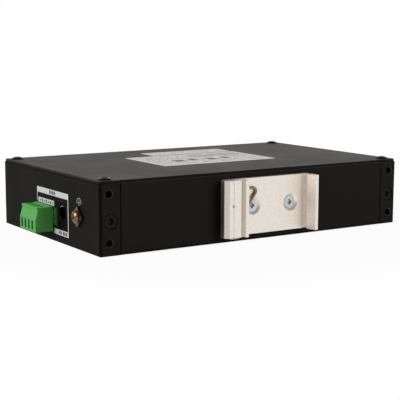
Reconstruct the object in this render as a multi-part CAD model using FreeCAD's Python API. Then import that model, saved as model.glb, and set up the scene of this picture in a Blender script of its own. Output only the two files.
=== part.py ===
import FreeCAD, Part
import math
import os

# DIN rail Ethernet switch: a folded steel box with an aluminium rail clip on its rear wall.
# X runs along the long walls, the rear wall faces -Y, Z is up. The origin is the centre of
# the underside. Sizes are in millimetres.

V = FreeCAD.Vector
X_AXIS = V(1, 0, 0)
Y_AXIS = V(0, 1, 0)
Z_AXIS = V(0, 0, 1)

# ---------------------------------------------------------------- driving dimensions
# Box
length = 155.0
width = 95.0
height = 30.0
sheet = 1.2
bend_radius = 1.4
edge_round = 0.25
fit_gap = 0.1
cut_margin = 0.01
cut_through = 1.0
tiny = 1e-6
cover_sheet = 1.0
cover_inset = 0.4
cover_corner = 1.2
strip_width = 9.1
seam_gap = 0.45
bracket_hole_inset = 4.2
bracket_hole_spacing = 19.5
bracket_hole_radius = 1.5
bracket_hole_bevel = 0.3
cap_screw_inset = 4.9
cap_screw_height = 13.8
tongue_height = 11.0
tongue_end_gap = 1.8
joggle_overlap = 2.0
joggle_foot = 0.5
flange_lap = 0.2
floor_flange = 6.0
top_flange = 9.5
floor_flange_end_gap = 7.0
top_flange_end_gap = 1.9
cover_screw_inset = 4.75

# Screws: M3 for the case, the clip and the board
thread_radius = 1.5
thread_play = 0.05
hole_play = 0.15
flat_head_radius = 2.75
flat_head_sink = 0.3
flat_head_play = 0.12
pan_head_radius = 2.65
pan_head_height = 1.0
rim_share = 0.4
crown_share = 0.6
case_screw_length = 5.0
board_screw_length = 3.2

# Rail clip
clip_height = 24.0
clip_centre_x = 4.2
clip_centre_z = 15.0
clip_plate = 2.4
clip_screw_spacing = 20.0
clip_sink_radius = 3.8
clip_screw_length = 6.2
rail_width = 35.0
hook_catch = 1.0
rail_flange_room = 1.6
spring_travel = 4.9
right_root = 18.2
right_wall_foot = 1.4
right_wall_depth = 9.7
right_wall_lean = 0.9
relief_width = 1.9
relief_depth = 0.7
relief_lean = 0.2
hook_fall = 0.3
hook_nose = 0.6
lip_overlap = 0.9
lip_depth = 7.95
lip_width = 1.7
groove_depth = 6.2
groove_floor = 0.5
groove_slope = 1.7
pocket_play = 0.2
clip_round = 0.3
block_depth = 7.2
block_width = 11.0
block_chamfer = 1.7
block_stand_off = 2.6
block_foot_inset = 2.5
block_fall = 0.25
line_depth = 0.3
line_offset = 3.9
dimple_radius = 1.0
dimple_depth = 0.95
dimple_height = 16.5
wire_radius = 0.6
wire_channel_play = 0.2
channel_mouth = 0.5
wire_bend = 1.5
wire_plate_gap = 0.1
wire_end_inset = 1.5
channel_depth = 3.5
wire_lip_gap = 0.6
bow_start = 7.3
bow_reach = 8.25
bow_height = 19.9

# Clinch nuts
nut_radius = 3.0
nut_length = 2.6

# Power end: openings of the end wall, measured from the middle of the long side
terminal_poles = 4
pole_pitch = 3.5
terminal_y = 1.94
jack_y = -12.75
ground_y = -29.5
ground_z = 13.8
opening_gap = 0.3

# Board
board_sheet = 1.6
board_z = 4.8
board_edge_gap = 0.6
board_side_gap = 2.2
standoff_radius = 3.0
standoff_gap = 0.3
standoff_edge = 8.1

# Terminal header
header_front = 0.6
header_depth = 8.4
header_height = 8.1
header_wall = 1.0
header_end_wall = 1.3
header_back_wall = 1.2
header_side_notch = 0.8
header_notch_lap = 0.2
plug_left = 7.32
plug_right = 8.49
plug_play = 0.25
pin_size = 0.9
pin_play = 0.06
pin_stand_off = 0.4
pin_tail = 1.2
pin_bevel = 0.2
pin_z = 10.4
pin_engagement = 5.0
pin_hole = 1.3

# Terminal plug
plug_reach = 9.0
plug_stand_off = 0.4
plug_bottom = 4.4
plug_top = 14.8
plug_step_z = 9.95
plug_step = 0.25
plug_bevel = 0.1
plug_lip_z = 13.9
plug_lean = 1.25
plug_lip = 0.35
plug_ridge = 1.2
plug_ridge_rise = 0.25
tongue_reach = 5.4
tongue_clearance = 0.3
window_width = 1.7
window_height = 3.9
window_z = 7.2
chamber_width = 2.8
chamber_front = 6.9
chamber_back = 2.6
chamber_bottom = 5.0
chamber_top = 12.3
plug_screw_x = 4.7
plug_screw_head = 1.15
plug_screw_play = 0.2
plug_screw_head_height = 1.4
plug_screw_top = 13.9
plug_screw_slot = 0.5
plug_screw_slot_depth = 0.7
plug_screw_tip_gap = 0.02
clamp_gap = 0.15
clamp_wall = 0.35
clamp_floor = 0.5
clamp_sill = 0.4
clamp_top = 11.6
clamp_crown = 1.6
plug_thread_radius = 0.9
contact_z = 9.5
contact_sheet = 0.4
contact_width = 1.3
contact_gap = 0.15
contact_end_gap = 0.4
contact_back = 5.0
contact_channel_front = 1.4

# Barrel jack
jack_width = 9.0
jack_height = 11.5
jack_depth = 14.0
jack_face_recess = 0.35
jack_flange = 3.2
jack_hole_radius = 3.0
jack_hole_depth = 9.5
jack_hole_rise = 6.6
jack_mouth_bevel = 0.4
jack_pin_radius = 1.0
jack_pin_recess = 2.5
jack_pin_nose = 0.5
jack_barrel_radius = 4.2
jack_lap = 0.5
jack_leaf = 0.3
jack_leaf_width = 1.8
jack_leaf_play = 0.2
jack_leaf_inset = 0.3

# Earth screw
ground_head_radius = 2.7
ground_head_height = 1.9
ground_washer_size = 6.1
ground_washer_sheet = 0.8
ground_washer_turn = 45.0
ground_washer_lip = 0.4
ground_washer_edge = 0.7
ground_washer_corner = 0.25
ground_screw_length = 5.5

# Port blocks
ports_per_block = 4
port_pitch = 13.97
port_centre_x = 5.0
block_gap = 1.4
port_end_wall = 1.1
port_height = 13.2
port_depth = 21.0
port_proud = 0.6
port_mouth_width = 11.8
port_mouth_height = 6.9
port_mouth_rise = 4.3
shield_set_back = 0.4
port_cavity_depth = 14.5
latch_width = 6.2
latch_height = 1.5
latch_tip_width = 3.3
contact_count = 8
contact_pitch = 1.02
contact_wire = 0.35
contact_drop = 1.6
contact_start = 2.5
contact_end = 11.0
led_width = 2.6
led_height = 1.3
led_depth = 2.0
led_offset = 4.4
led_rise = 0.45
led_proud = 0.1
shield_sheet = 0.25
shield_gap = 0.05

# Status lamps
lamp_radius = 1.5
lamp_count = 3
lamp_pitch = 5.2
lamp_inset = 17.5
lamp_proud = 0.9
lamp_body = 5.0

# Parts on the board
chip_size = 14.0
chip_height = 1.2
chip_bevel = 0.25
chip_at = (-2.0, -8.0)
sink_size = 26.0
sink_base = 2.0
sink_height = 9.0
sink_fins = 8
sink_fin_width = 1.3
magnetics_length = 12.6
magnetics_width = 9.6
magnetics_height = 5.8
magnetics_gap = 2.5
magnetics_bevel = 0.5
can_radius = 4.0
can_height = 11.5
can_count = 3
can_pitch = 10.5
can_inset = 29.5
can_y = -30.0
coil_size = 10.0
coil_height = 5.2
coil_corner = 2.6
coil_inset = 25.5
coil_y = -8.0
crystal_length = 11.0
crystal_width = 4.6
crystal_height = 3.5
crystal_at = (24.0, -22.0)

# Labels on the cover
label_sheet = 0.15
label_corner = 0.8
rating_label_size = (60.0, 35.7)
rating_label_corner = (-29.9, -17.5)
serial_label_size = (43.8, 12.0)
serial_label_gap = 2.0

# ---------------------------------------------------------------- sizes worked out
half_length = length / 2
half_width = width / 2
cover_z = height - cover_sheet
wall_top = cover_z - fit_gap
seam_x = half_length - strip_width - seam_gap
mid_z = height / 2
board_top = board_z + board_sheet
header_left = terminal_y + plug_left + plug_play + header_end_wall
header_right = terminal_y - plug_right - plug_play - header_end_wall
header_top = board_top + header_height
header_back = -half_length - header_front + header_depth
pin_drop_x = header_back + pin_stand_off + pin_size / 2
jack_front = -half_length + jack_face_recess
clip_bottom = clip_centre_z - clip_height / 2
rear_inner = -half_width + sheet
front_inner = half_width - sheet
cap_inner = -half_length + sheet
jack_z = board_top + jack_hole_rise
port_wall = (port_pitch - port_mouth_width) / 2
block_length = ports_per_block * port_pitch + 2 * (port_end_wall - port_wall)
port_face = half_width + port_proud
pole_ys = [terminal_y + (terminal_poles - 1 - 2 * pole) * pole_pitch / 2 for pole in range(terminal_poles)]
clip_screw_xs = [clip_centre_x - clip_screw_spacing / 2, clip_centre_x + clip_screw_spacing / 2]
port_block_xs = [port_centre_x + side * (block_length + block_gap) / 2 for side in (-1, 1)]
lamp_x = lamp_inset - half_length
can_at = (can_inset - half_length, can_y)
coil_at = (coil_inset - half_length, coil_y)
lamp_zs = [mid_z + (lamp_count - 1 - 2 * lamp) * lamp_pitch / 2 for lamp in range(lamp_count)]
standoff_x = -cap_inner - floor_flange - standoff_gap - standoff_radius
standoff_y = front_inner - board_side_gap - standoff_edge
standoffs = [(sx * standoff_x, sy * standoff_y) for sx in (-1, 1) for sy in (-1, 1)]
left_root = right_root - rail_width
lip_tip = left_root + lip_overlap
pocket_root = left_root - spring_travel + lip_overlap
block_left = lip_tip - block_width
groove_x = lip_tip - lip_width
line_x = block_left + line_offset
wire_depth = clip_plate + wire_radius + wire_plate_gap
cover_screws = [
    (sx * (half_length - cover_screw_inset), sy * (half_width - cover_screw_inset))
    for sx in (-1, 1)
    for sy in (-1, 1)
]


# ---------------------------------------------------------------- drawing helpers
def centred(middle, size):
    """A range of the given size about a middle."""
    return (middle - size / 2, middle + size / 2)


def corners_of(centre, size_x, size_y):
    """The four corners, in X and Y, of an upright rectangle about a centre."""
    return [(x, y) for x in centred(centre[0], size_x) for y in centred(centre[1], size_y)]


def block(x_range, y_range, z_range):
    """A rectangular solid between two corners."""
    size = [high - low for low, high in (x_range, y_range, z_range)]
    return Part.makeBox(*size, V(x_range[0], y_range[0], z_range[0]))


def raised(centre, size_x, size_y, low, rise):
    """A rectangular solid about a centre in X and Y, from a low face up."""
    return block(centred(centre[0], size_x), centred(centre[1], size_y), (low, low + rise))


def face_of(points):
    """A flat face inside a closed polygon."""
    return Part.Face(Part.makePolygon(points + [points[0]]))


def plan_prism(points, z_range):
    """A polygon in X and Y, raised along Z."""
    outline = [V(x, y, z_range[0]) for x, y in points]
    return face_of(outline).extrude(V(0, 0, z_range[1] - z_range[0]))


def side_prism(points, y_range):
    """A polygon in X and Z, raised along Y."""
    outline = [V(x, y_range[0], z) for x, z in points]
    return face_of(outline).extrude(V(0, y_range[1] - y_range[0], 0))


def rod(start, axis, radius, reach):
    """A cylinder from a point along an axis."""
    return Part.makeCylinder(radius, reach, start, axis)


def drill(start, axis, radius, deep):
    """A cutter for a round hole through deep, run past both of its ends."""
    return rod(start - axis * cut_through, axis, radius, deep + 2 * cut_through)


def cone(start, axis, radius_a, radius_b, reach):
    """A cone from a point along an axis."""
    return Part.makeCone(radius_a, radius_b, reach, start, axis)


def countersink(face_point, axis, mouth, foot):
    """A right-angled conical cutter from mouth radius at a face to foot radius; axis points out."""
    start = face_point + axis * cut_margin
    return cone(start, -axis, mouth + cut_margin, foot, mouth - foot + cut_margin)


def tube(start, axis, outer, inner, reach):
    """A round bush with a hole through it."""
    return rod(start, axis, outer, reach).cut(drill(start, axis, inner, reach))


def turned(profile, start, axis):
    """A turned solid: pairs of radius and height along the axis, closed back to the centre line."""
    outline = [V(radius, 0, rise) for radius, rise in profile]
    solid = face_of(outline).revolve(V(0, 0, 0), Z_AXIS, 360)
    solid.Placement = FreeCAD.Placement(start, FreeCAD.Rotation(Z_AXIS, axis))
    return solid


def flat_head_screw(face_point, axis, shank_end):
    """A countersunk screw whose head lies in a cone just under face_point; axis points out."""
    profile = [
        (0, 0),
        (flat_head_radius, 0),
        (thread_radius, thread_radius - flat_head_radius),
        (thread_radius, -shank_end),
        (0, -shank_end),
    ]
    return turned(profile, face_point - axis * flat_head_sink, axis)


def pan_head_screw(seat, axis, head_radius, head_height, shank_end):
    """A low M3 pan head on its seat: upright rim, wide bevel and flat crown."""
    profile = [
        (0, -shank_end),
        (thread_radius, -shank_end),
        (thread_radius, 0),
        (head_radius, 0),
        (head_radius, head_height * rim_share),
        (head_radius * crown_share, head_height),
        (0, head_height),
    ]
    return turned(profile, seat, axis)


def head_cone(face_point, axis):
    """The countersink that leaves flat_head_play round a countersunk head, down to its shank."""
    mouth = flat_head_radius + flat_head_sink + flat_head_play
    return countersink(face_point, axis, mouth, thread_radius + thread_play)


def bent_wire(points, bend, radius):
    """A round wire: straight runs joined by tangent bends at each inner point."""
    pieces = []
    start = points[0]
    for before, corner, after in zip(points, points[1:], points[2:]):
        arrive = (corner - before).normalize()
        leave = (after - corner).normalize()
        turn = arrive.getAngle(leave)
        setback = bend * math.tan(turn / 2)
        arc_start = corner - arrive * setback
        pivot_axis = arrive.cross(leave).normalize()
        pivot = arc_start + pivot_axis.cross(arrive) * bend
        pieces.append(rod(start, arrive, radius, (arc_start - start).Length))
        ring = Part.Face(Part.Wire(Part.makeCircle(radius, arc_start, arrive)))
        pieces.append(ring.revolve(pivot, pivot_axis, math.degrees(turn)))
        start = corner + leave * setback
    pieces.append(rod(start, points[-1] - start, radius, (points[-1] - start).Length))
    return pieces[0].fuse(pieces[1:]).removeSplitter()


def rounded_outline(corners):
    """A closed outline from pairs of a corner point and the radius of its round, 0 for a sharp one."""
    points = [point for point, radius in corners]
    rounds = []
    for number, (point, radius) in enumerate(corners):
        after = points[(number + 1) % len(points)]
        arrive = (point - points[number - 1]).normalize()
        leave = (after - point).normalize()
        turn = arrive.getAngle(leave)
        setback = radius * math.tan(turn / 2)
        inward = (leave - arrive).normalize()
        middle = point + inward * (radius / math.cos(turn / 2) - radius)
        rounds.append((point - arrive * setback, middle, point + leave * setback))
    edges = []
    for (start, middle, end), following in zip(rounds, rounds[1:] + rounds[:1]):
        if (end - start).Length > tiny:
            edges.append(Part.Arc(start, middle, end).toShape())
        edges.append(Part.makeLine(end, following[0]))
    return Part.Wire(edges)


def round_upright_edges(solid, radius, corners):
    """Round the upright edges of a solid that stand at the given X and Y corners."""
    chosen = []
    for edge in solid.Edges:
        ends = [vertex.Point for vertex in edge.Vertexes]
        if len(ends) < 2 or math.hypot(ends[0].x - ends[1].x, ends[0].y - ends[1].y) > tiny:
            continue
        if any(math.hypot(ends[0].x - x, ends[0].y - y) < tiny for x, y in corners):
            chosen.append(edge)
    return solid.makeFillet(radius, chosen)


def bevel_top(solid, size):
    """Bevel the edges of a solid's highest face."""
    top_face = max(solid.Faces, key=lambda face: face.CenterOfMass.z)
    return solid.makeChamfer(size, top_face.Edges)


def parts_of(shapes):
    """A group of separate solids in one node."""
    return Part.makeCompound(shapes)


# ---------------------------------------------------------------- case
def chassis():
    """Floor, rear wall and front wall folded from one sheet, with four tongues behind the strips."""
    outer = bend_radius
    edge_y = half_width
    section = [
        Part.makeLine(V(0, -edge_y + edge_round, wall_top), V(0, -edge_y, wall_top - edge_round)),
        Part.makeLine(V(0, -edge_y, wall_top - edge_round), V(0, -edge_y, outer)),
        Part.Arc(
            V(0, -edge_y, outer),
            V(0, -edge_y + outer * (1 - math.sqrt(0.5)), outer * (1 - math.sqrt(0.5))),
            V(0, -edge_y + outer, 0),
        ).toShape(),
        Part.makeLine(V(0, -edge_y + outer, 0), V(0, 0, 0)),
        Part.makeLine(V(0, 0, 0), V(0, 0, sheet)),
        Part.makeLine(V(0, 0, sheet), V(0, -edge_y + outer, sheet)),
        Part.makeLine(V(0, -edge_y + outer, sheet), V(0, -edge_y + sheet, outer)),
        Part.makeLine(V(0, -edge_y + sheet, outer), V(0, -edge_y + sheet, wall_top)),
        Part.makeLine(V(0, -edge_y + sheet, wall_top), V(0, -edge_y + edge_round, wall_top)),
    ]
    half = Part.Face(Part.Wire(section)).extrude(V(2 * seam_x, 0, 0))
    half.translate(V(-seam_x, 0, 0))
    other = half.mirror(V(0, 0, 0), Y_AXIS)
    floor_end = half_length - sheet - fit_gap
    floor_side = half_width - sheet - fit_gap
    floor = block((-floor_end, floor_end), (-floor_side, floor_side), (0, sheet))
    tongues = [tongue(sx, sy) for sx in (-1, 1) for sy in (-1, 1)]
    body = half.fuse([other, floor] + tongues)
    return body.cut(chassis_cutters()).removeSplitter()


def chassis_cutters():
    """Cutters for the cap screws, the clip's screws, the port windows and the status lamps."""
    cutters = []
    for sx in (-1, 1):
        for sy in (-1, 1):
            outside = V(0, sy, 0)
            at = V(sx * (half_length - cap_screw_inset), sy * half_width, cap_screw_height)
            cutters.append(head_cone(at, outside))
            cutters.append(drill(at, -outside, thread_radius + thread_play, 2 * sheet))
    for x in clip_screw_xs:
        rear = V(x, -half_width, clip_centre_z)
        cutters.append(drill(rear, Y_AXIS, thread_radius + hole_play, sheet))
    reach = block_length / 2 + shield_gap + shield_sheet + opening_gap
    top = board_top + port_height + shield_gap + shield_sheet + opening_gap
    through = (front_inner - cut_through, half_width + cut_through)
    for x in port_block_xs:
        cutters.append(block((x - reach, x + reach), through, (board_top - opening_gap, top)))
    for z in lamp_zs:
        cutters.append(drill(V(lamp_x, front_inner, z), Y_AXIS, lamp_radius + hole_play, sheet))
    return cutters


def tongue(sx, sy):
    """A joggled tongue: it leaves the wall's inner side and lies flat behind a strip."""
    outside = front_inner - fit_gap / 2
    inside = outside - sheet
    end = half_length - sheet - tongue_end_gap
    points = [
        (seam_x - joggle_overlap, front_inner),
        (seam_x, front_inner),
        (seam_x + fit_gap / 2, outside),
        (end, outside),
        (end, inside),
        (seam_x - joggle_overlap / 2, inside),
        (seam_x - joggle_overlap, front_inner - joggle_foot),
    ]
    return plan_prism([(sx * x, sy * y) for x, y in points], centred(cap_screw_height, tongue_height))


def end_cap(side):
    """An end wall folded with two strips round the corners, a floor flange and a top flange."""
    shell = block((-half_length, -half_length + strip_width), (-half_width, half_width), (0, wall_top))
    corners = [(-half_length, -half_width), (-half_length, half_width)]
    shell = round_upright_edges(shell, bend_radius, corners)
    shell = shell.cut(block((cap_inner, 0), (rear_inner, front_inner), (-cut_through, height)))
    rims = [edge for edge in shell.Edges if on_cap_rim(edge)]
    shell = shell.makeChamfer(edge_round, rims)
    foot_y = half_width - floor_flange_end_gap
    head_y = half_width - top_flange_end_gap
    foot_z = sheet + fit_gap
    lap = cap_inner - flange_lap
    shell = shell.fuse([
        block((lap, cap_inner + floor_flange), (-foot_y, foot_y), (foot_z, foot_z + sheet)),
        block((lap, -half_length + top_flange), (-head_y, head_y), (wall_top - sheet, wall_top)),
    ])
    shell = shell.cut([cutter for sy in (-1, 1) for cutter in strip_cutters(sy)])
    if side < 0:
        return shell.cut(power_end_cutters()).removeSplitter()
    return shell.mirror(V(0, 0, 0), X_AXIS).removeSplitter()


def strip_cutters(sy):
    """Cutters for a strip's countersink, its two bracket holes and the cover screw over it."""
    outside = V(0, sy, 0)
    screw = V(-half_length + cap_screw_inset, sy * half_width, cap_screw_height)
    seat = V(-half_length + cover_screw_inset, sy * (half_width - cover_screw_inset), wall_top)
    cutters = [head_cone(screw, outside), drill(seat, -Z_AXIS, thread_radius + thread_play, sheet)]
    rim = bracket_hole_radius + bracket_hole_bevel
    for z in centred(mid_z, bracket_hole_spacing):
        hole = V(-half_length + bracket_hole_inset, sy * half_width, z)
        cutters.append(drill(hole, -outside, bracket_hole_radius, sheet))
        cutters.append(countersink(hole, outside, rim, bracket_hole_radius))
    return cutters


def on_cap_rim(edge):
    """True for the outer top and bottom edges of an end cap, bends included."""
    box = edge.BoundBox
    flat = box.ZLength < tiny and (abs(box.ZMin) < tiny or abs(box.ZMin - wall_top) < tiny)
    on_end = abs(box.XMin + half_length) < tiny and box.XLength < tiny
    on_side = abs(abs(box.YMin) - half_width) < tiny and box.YLength < tiny
    on_bend = (
        abs(box.XMin + half_length) < fit_gap
        and box.XLength < bend_radius + fit_gap
        and max(abs(box.YMin), abs(box.YMax)) > half_width - fit_gap
        and box.YLength > bend_radius / 2
    )
    return flat and (on_end or on_side or on_bend)


def power_end_cutters():
    """Cutters for the terminal, the barrel jack and the earth screw."""
    x_range = (-half_length - cut_through, cap_inner + cut_through)
    header_y = (header_right - opening_gap, header_left + opening_gap)
    header_z = (board_top - opening_gap, header_top + opening_gap)
    jack_z_range = (board_top - opening_gap, board_top + jack_height + opening_gap)
    return [
        block(x_range, header_y, header_z),
        block(x_range, centred(jack_y, jack_width + 2 * opening_gap), jack_z_range),
        drill(V(-half_length, ground_y, ground_z), X_AXIS, thread_radius + hole_play, sheet),
    ]


def top_cover():
    """A flat plate that closes the box, held back from the outer faces by cover_inset."""
    size_x = length - 2 * cover_inset
    size_y = width - 2 * cover_inset
    plate = block(centred(0, size_x), centred(0, size_y), (cover_z, height))
    plate = round_upright_edges(plate, cover_corner, corners_of((0, 0), size_x, size_y))
    bore = thread_radius + hole_play
    return plate.cut([drill(V(x, y, cover_z), Z_AXIS, bore, cover_sheet) for x, y in cover_screws])


def cover_screw_set():
    """Four low pan heads on the cover, threaded into the top flanges."""
    return parts_of([
        pan_head_screw(V(x, y, height), Z_AXIS, pan_head_radius, pan_head_height, case_screw_length)
        for x, y in cover_screws
    ])


def cap_screw_set():
    """Four countersunk screws through the strips into the tongues."""
    screws = []
    for sx in (-1, 1):
        for sy in (-1, 1):
            at = V(sx * (half_length - cap_screw_inset), sy * half_width, cap_screw_height)
            screws.append(flat_head_screw(at, V(0, sy, 0), case_screw_length))
    return parts_of(screws)


def label(corner, size):
    """A thin sheet on the cover with small round corners."""
    (x, y), (long, wide) = corner, size
    centre = (x + long / 2, y + wide / 2)
    film = raised(centre, long, wide, height, label_sheet)
    return round_upright_edges(film, label_corner, corners_of(centre, long, wide))


# ---------------------------------------------------------------- rail clip
def clip_point(x, depth):
    """A point of the clip's section: x from the clip's middle, depth out of the rear wall."""
    return (clip_centre_x + x, -half_width - depth)


def din_clip():
    """One extrusion: sprung block on the left, screwed plate, hooked wall on the right.

    The section runs round the block (foot, outer wall, bevel, scribed line, groove and
    overhanging lip), under the lip into the pocket, along the plate, through the relief
    groove and round the hook with its sloping lead-in. Each corner has its own round.
    """
    foot_left = block_left + block_foot_inset
    second_flat = block_depth - block_fall
    pocket_top = clip_plate + rail_flange_room + pocket_play
    hook_tip = right_root - hook_catch
    hook_low = clip_plate + rail_flange_room
    hook_high = hook_low + hook_fall + hook_nose
    outer_wall = right_root + right_wall_foot
    relief = clip_plate - relief_depth
    section = [
        (foot_left, 0, 0),
        (foot_left, block_stand_off, 0),
        (block_left, block_stand_off, clip_round),
        (block_left, block_depth - block_chamfer, clip_round),
        (block_left + block_chamfer, block_depth, clip_round),
        (line_x - line_depth, block_depth, 0),
        (line_x, block_depth - line_depth, 0),
        (line_x + line_depth, second_flat, 0),
        (groove_x - groove_slope, second_flat, clip_round),
        (groove_x - groove_floor, groove_depth, 0),
        (groove_x, groove_depth, 0),
        (groove_x, lip_depth, clip_round),
        (lip_tip, lip_depth, clip_round),
        (lip_tip, pocket_top, clip_round),
        (pocket_root, pocket_top, 0),
        (pocket_root, clip_plate, 0),
        (right_root - relief_width, clip_plate, 0),
        (right_root - relief_width + relief_lean, relief, 0),
        (right_root, relief, 0),
        (right_root, hook_low, 0),
        (hook_tip, hook_low + hook_fall, clip_round / 2),
        (hook_tip, hook_high, clip_round),
        (hook_tip + right_wall_lean, right_wall_depth, clip_round),
        (outer_wall, right_wall_depth, clip_round),
        (outer_wall, 0, 0),
    ]
    corners = [(V(*clip_point(x, depth), clip_bottom), radius) for x, depth, radius in section]
    clip = Part.Face(rounded_outline(corners)).extrude(V(0, 0, clip_height))
    bore = wire_radius + wire_channel_play
    channel = V(*clip_point(line_x, channel_depth), clip_bottom)
    dimple = V(*clip_point(line_x, block_depth + cut_margin), dimple_height)
    cutters = [
        drill(channel, Z_AXIS, bore, clip_height),
        countersink(channel, -Z_AXIS, bore + channel_mouth, bore),
        cone(dimple, Y_AXIS, dimple_radius, 0, dimple_depth),
    ]
    for x in clip_screw_xs:
        seat = V(x, -half_width - clip_plate, clip_centre_z)
        cutters.append(countersink(seat, -Y_AXIS, clip_sink_radius, thread_radius + hole_play))
        cutters.append(drill(seat, Y_AXIS, thread_radius + hole_play, clip_plate))
    return clip.cut(cutters)


def clip_spring():
    """Wire held in the block's channel, turned at the bottom and bowed out over the plate."""
    turn_z = clip_bottom - wire_radius - fit_gap
    top_z = clip_bottom + clip_height - wire_end_inset
    wire_x = lip_tip - wire_radius - wire_lip_gap
    route = [
        (line_x, channel_depth, top_z),
        (line_x, channel_depth, turn_z),
        (wire_x, wire_depth, turn_z),
        (wire_x, wire_depth, clip_bottom + bow_start),
        (lip_tip + bow_reach, wire_depth, clip_bottom + bow_height),
        (pocket_root + 2 * wire_radius, wire_depth, clip_bottom + bow_height),
    ]
    points = [V(*clip_point(x, depth), z) for x, depth, z in route]
    return bent_wire(points, wire_bend, wire_radius)


def clip_screw_set():
    """Two countersunk screws sunk below the plate's face."""
    sink = clip_sink_radius - flat_head_radius - flat_head_play - flat_head_sink
    return parts_of([
        flat_head_screw(V(x, -half_width - clip_plate + sink, clip_centre_z), -Y_AXIS, clip_screw_length)
        for x in clip_screw_xs
    ])


def clinch_nut(seat, axis):
    """A round clinch nut that stands on the inner side of a wall."""
    return tube(seat, axis, nut_radius, thread_radius + thread_play, nut_length)


# ---------------------------------------------------------------- power end
def terminal_header():
    """Green header: a shroud open to the end, closed by four walls and a back wall."""
    front = -half_length - header_front
    back = front + header_depth
    body = block((front, back), (header_right, header_left), (board_top, header_top))
    cutters = [block(
        (front - cut_through, back - header_back_wall),
        (header_right + header_end_wall, header_left - header_end_wall),
        (board_top + header_wall, header_top - header_wall),
    )]
    notch_x = (front - cut_through, -half_length + header_notch_lap)
    notch_z = (board_top - cut_through, board_top + header_side_notch)
    for edge in (header_right, header_left):
        cutters.append(block(notch_x, centred(edge, 2 * header_end_wall + cut_margin), notch_z))
    for y in pole_ys:
        hole = pin_size + pin_play
        through = (back - header_back_wall - cut_through, back + cut_through)
        cutters.append(block(through, centred(y, hole), centred(pin_z, hole)))
    return body.cut(cutters)


def header_pin_set():
    """Square pins that turn down through the board."""
    tip = header_back - header_back_wall - pin_engagement
    pins = []
    for y in pole_ys:
        level = block((tip, pin_drop_x + pin_size / 2), centred(y, pin_size), centred(pin_z, pin_size))
        down = block(centred(pin_drop_x, pin_size), centred(y, pin_size), (board_z - pin_tail, pin_z))
        pin = level.fuse(down).removeSplitter()
        ends = [edge for edge in pin.Edges if abs(edge.BoundBox.XMax - tip) < tiny]
        pins.append(pin.makeChamfer(pin_bevel, ends))
    return parts_of(pins)


def plug_x(reach):
    """X of a plane that stands reach outside the end wall."""
    return -half_length - reach


def terminal_plug():
    """Green plug: stepped and sloping front, wire windows, screw wells and a tongue."""
    front = plug_x(plug_reach)
    lean = front + plug_lean
    behind = plug_x(header_front + plug_stand_off)
    tongue_end = plug_x(0) + tongue_reach
    outline = [
        (front, plug_bottom),
        (front, plug_step_z),
        (front + plug_step, plug_step_z + plug_bevel),
        (lean, plug_lip_z),
        (lean - plug_lip, plug_lip_z + plug_bevel),
        (lean - plug_lip, plug_top),
        (behind - plug_ridge, plug_top),
        (behind - plug_ridge, plug_top + plug_ridge_rise),
        (behind, plug_top + plug_ridge_rise),
        (behind, plug_bottom),
    ]
    right = terminal_y - plug_right
    left = terminal_y + plug_left
    body = side_prism(outline, (right, left))
    low = board_top + header_wall + tongue_clearance
    high = header_top - header_wall - tongue_clearance
    tongue_x = (behind - plug_ridge, tongue_end)
    body = body.fuse(block(tongue_x, (right + plug_play, left - plug_play), (low, high)))
    cutters = [cutter for y in pole_ys for cutter in pole_cutters(y, tongue_end)]
    return body.cut(cutters).removeSplitter()


def pole_cutters(y, tongue_end):
    """One pole's wire window, clamp chamber, screw well and contact slot."""
    back = plug_x(chamber_back)
    window_x = (plug_x(plug_reach) - cut_through, back)
    slot_x = (back - cut_through, tongue_end + cut_through)
    slot_low = contact_z - contact_sheet / 2 - contact_gap
    slot_high = pin_z + pin_size / 2 + 2 * contact_gap + contact_sheet
    slot_width = contact_width + 2 * contact_sheet
    well = V(plug_x(plug_screw_x), y, chamber_top - cut_through)
    return [
        block(window_x, centred(y, window_width), centred(window_z, window_height)),
        block((plug_x(chamber_front), back), centred(y, chamber_width), (chamber_bottom, chamber_top)),
        rod(well, Z_AXIS, plug_screw_head + plug_screw_play, plug_top),
        block(slot_x, centred(y, slot_width), (slot_low, slot_high)),
    ]


def plug_screw_set():
    """Slotted clamp screws that stand in the plug's wells."""
    seat_z = plug_screw_top - plug_screw_head_height
    tip = seat_z - contact_z - contact_sheet / 2 - plug_screw_tip_gap
    profile = [
        (0, -tip),
        (plug_thread_radius, -tip),
        (plug_thread_radius, 0),
        (plug_screw_head, 0),
        (plug_screw_head, plug_screw_head_height),
        (0, plug_screw_head_height),
    ]
    screws = []
    for y in pole_ys:
        seat = V(plug_x(plug_screw_x), y, seat_z)
        slot_z = (plug_screw_top - plug_screw_slot_depth, plug_screw_top + cut_through)
        slot = block(centred(seat.x, 3 * plug_screw_head), centred(y, plug_screw_slot), slot_z)
        screws.append(turned(profile, seat, Z_AXIS).cut(slot))
    return parts_of(screws)


def wire_clamp_set():
    """Lift clamps: a rectangular cage with a threaded crown round each contact."""
    front = plug_x(chamber_front - clamp_gap)
    back = plug_x(chamber_back + clamp_gap)
    wide = chamber_width - 2 * clamp_gap
    low = window_z - window_height / 2 - clamp_floor + clamp_sill
    cages = []
    for y in pole_ys:
        cage = block((front, back), centred(y, wide), (low, clamp_top))
        mouth_z = (low + clamp_floor, clamp_top - clamp_crown)
        mouth = block((front - cut_through, back + cut_through), centred(y, wide - 2 * clamp_wall), mouth_z)
        crown = V(plug_x(plug_screw_x), y, clamp_top)
        cages.append(cage.cut([mouth, drill(crown, -Z_AXIS, plug_thread_radius + thread_play, clamp_crown)]))
    return parts_of(cages)


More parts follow.
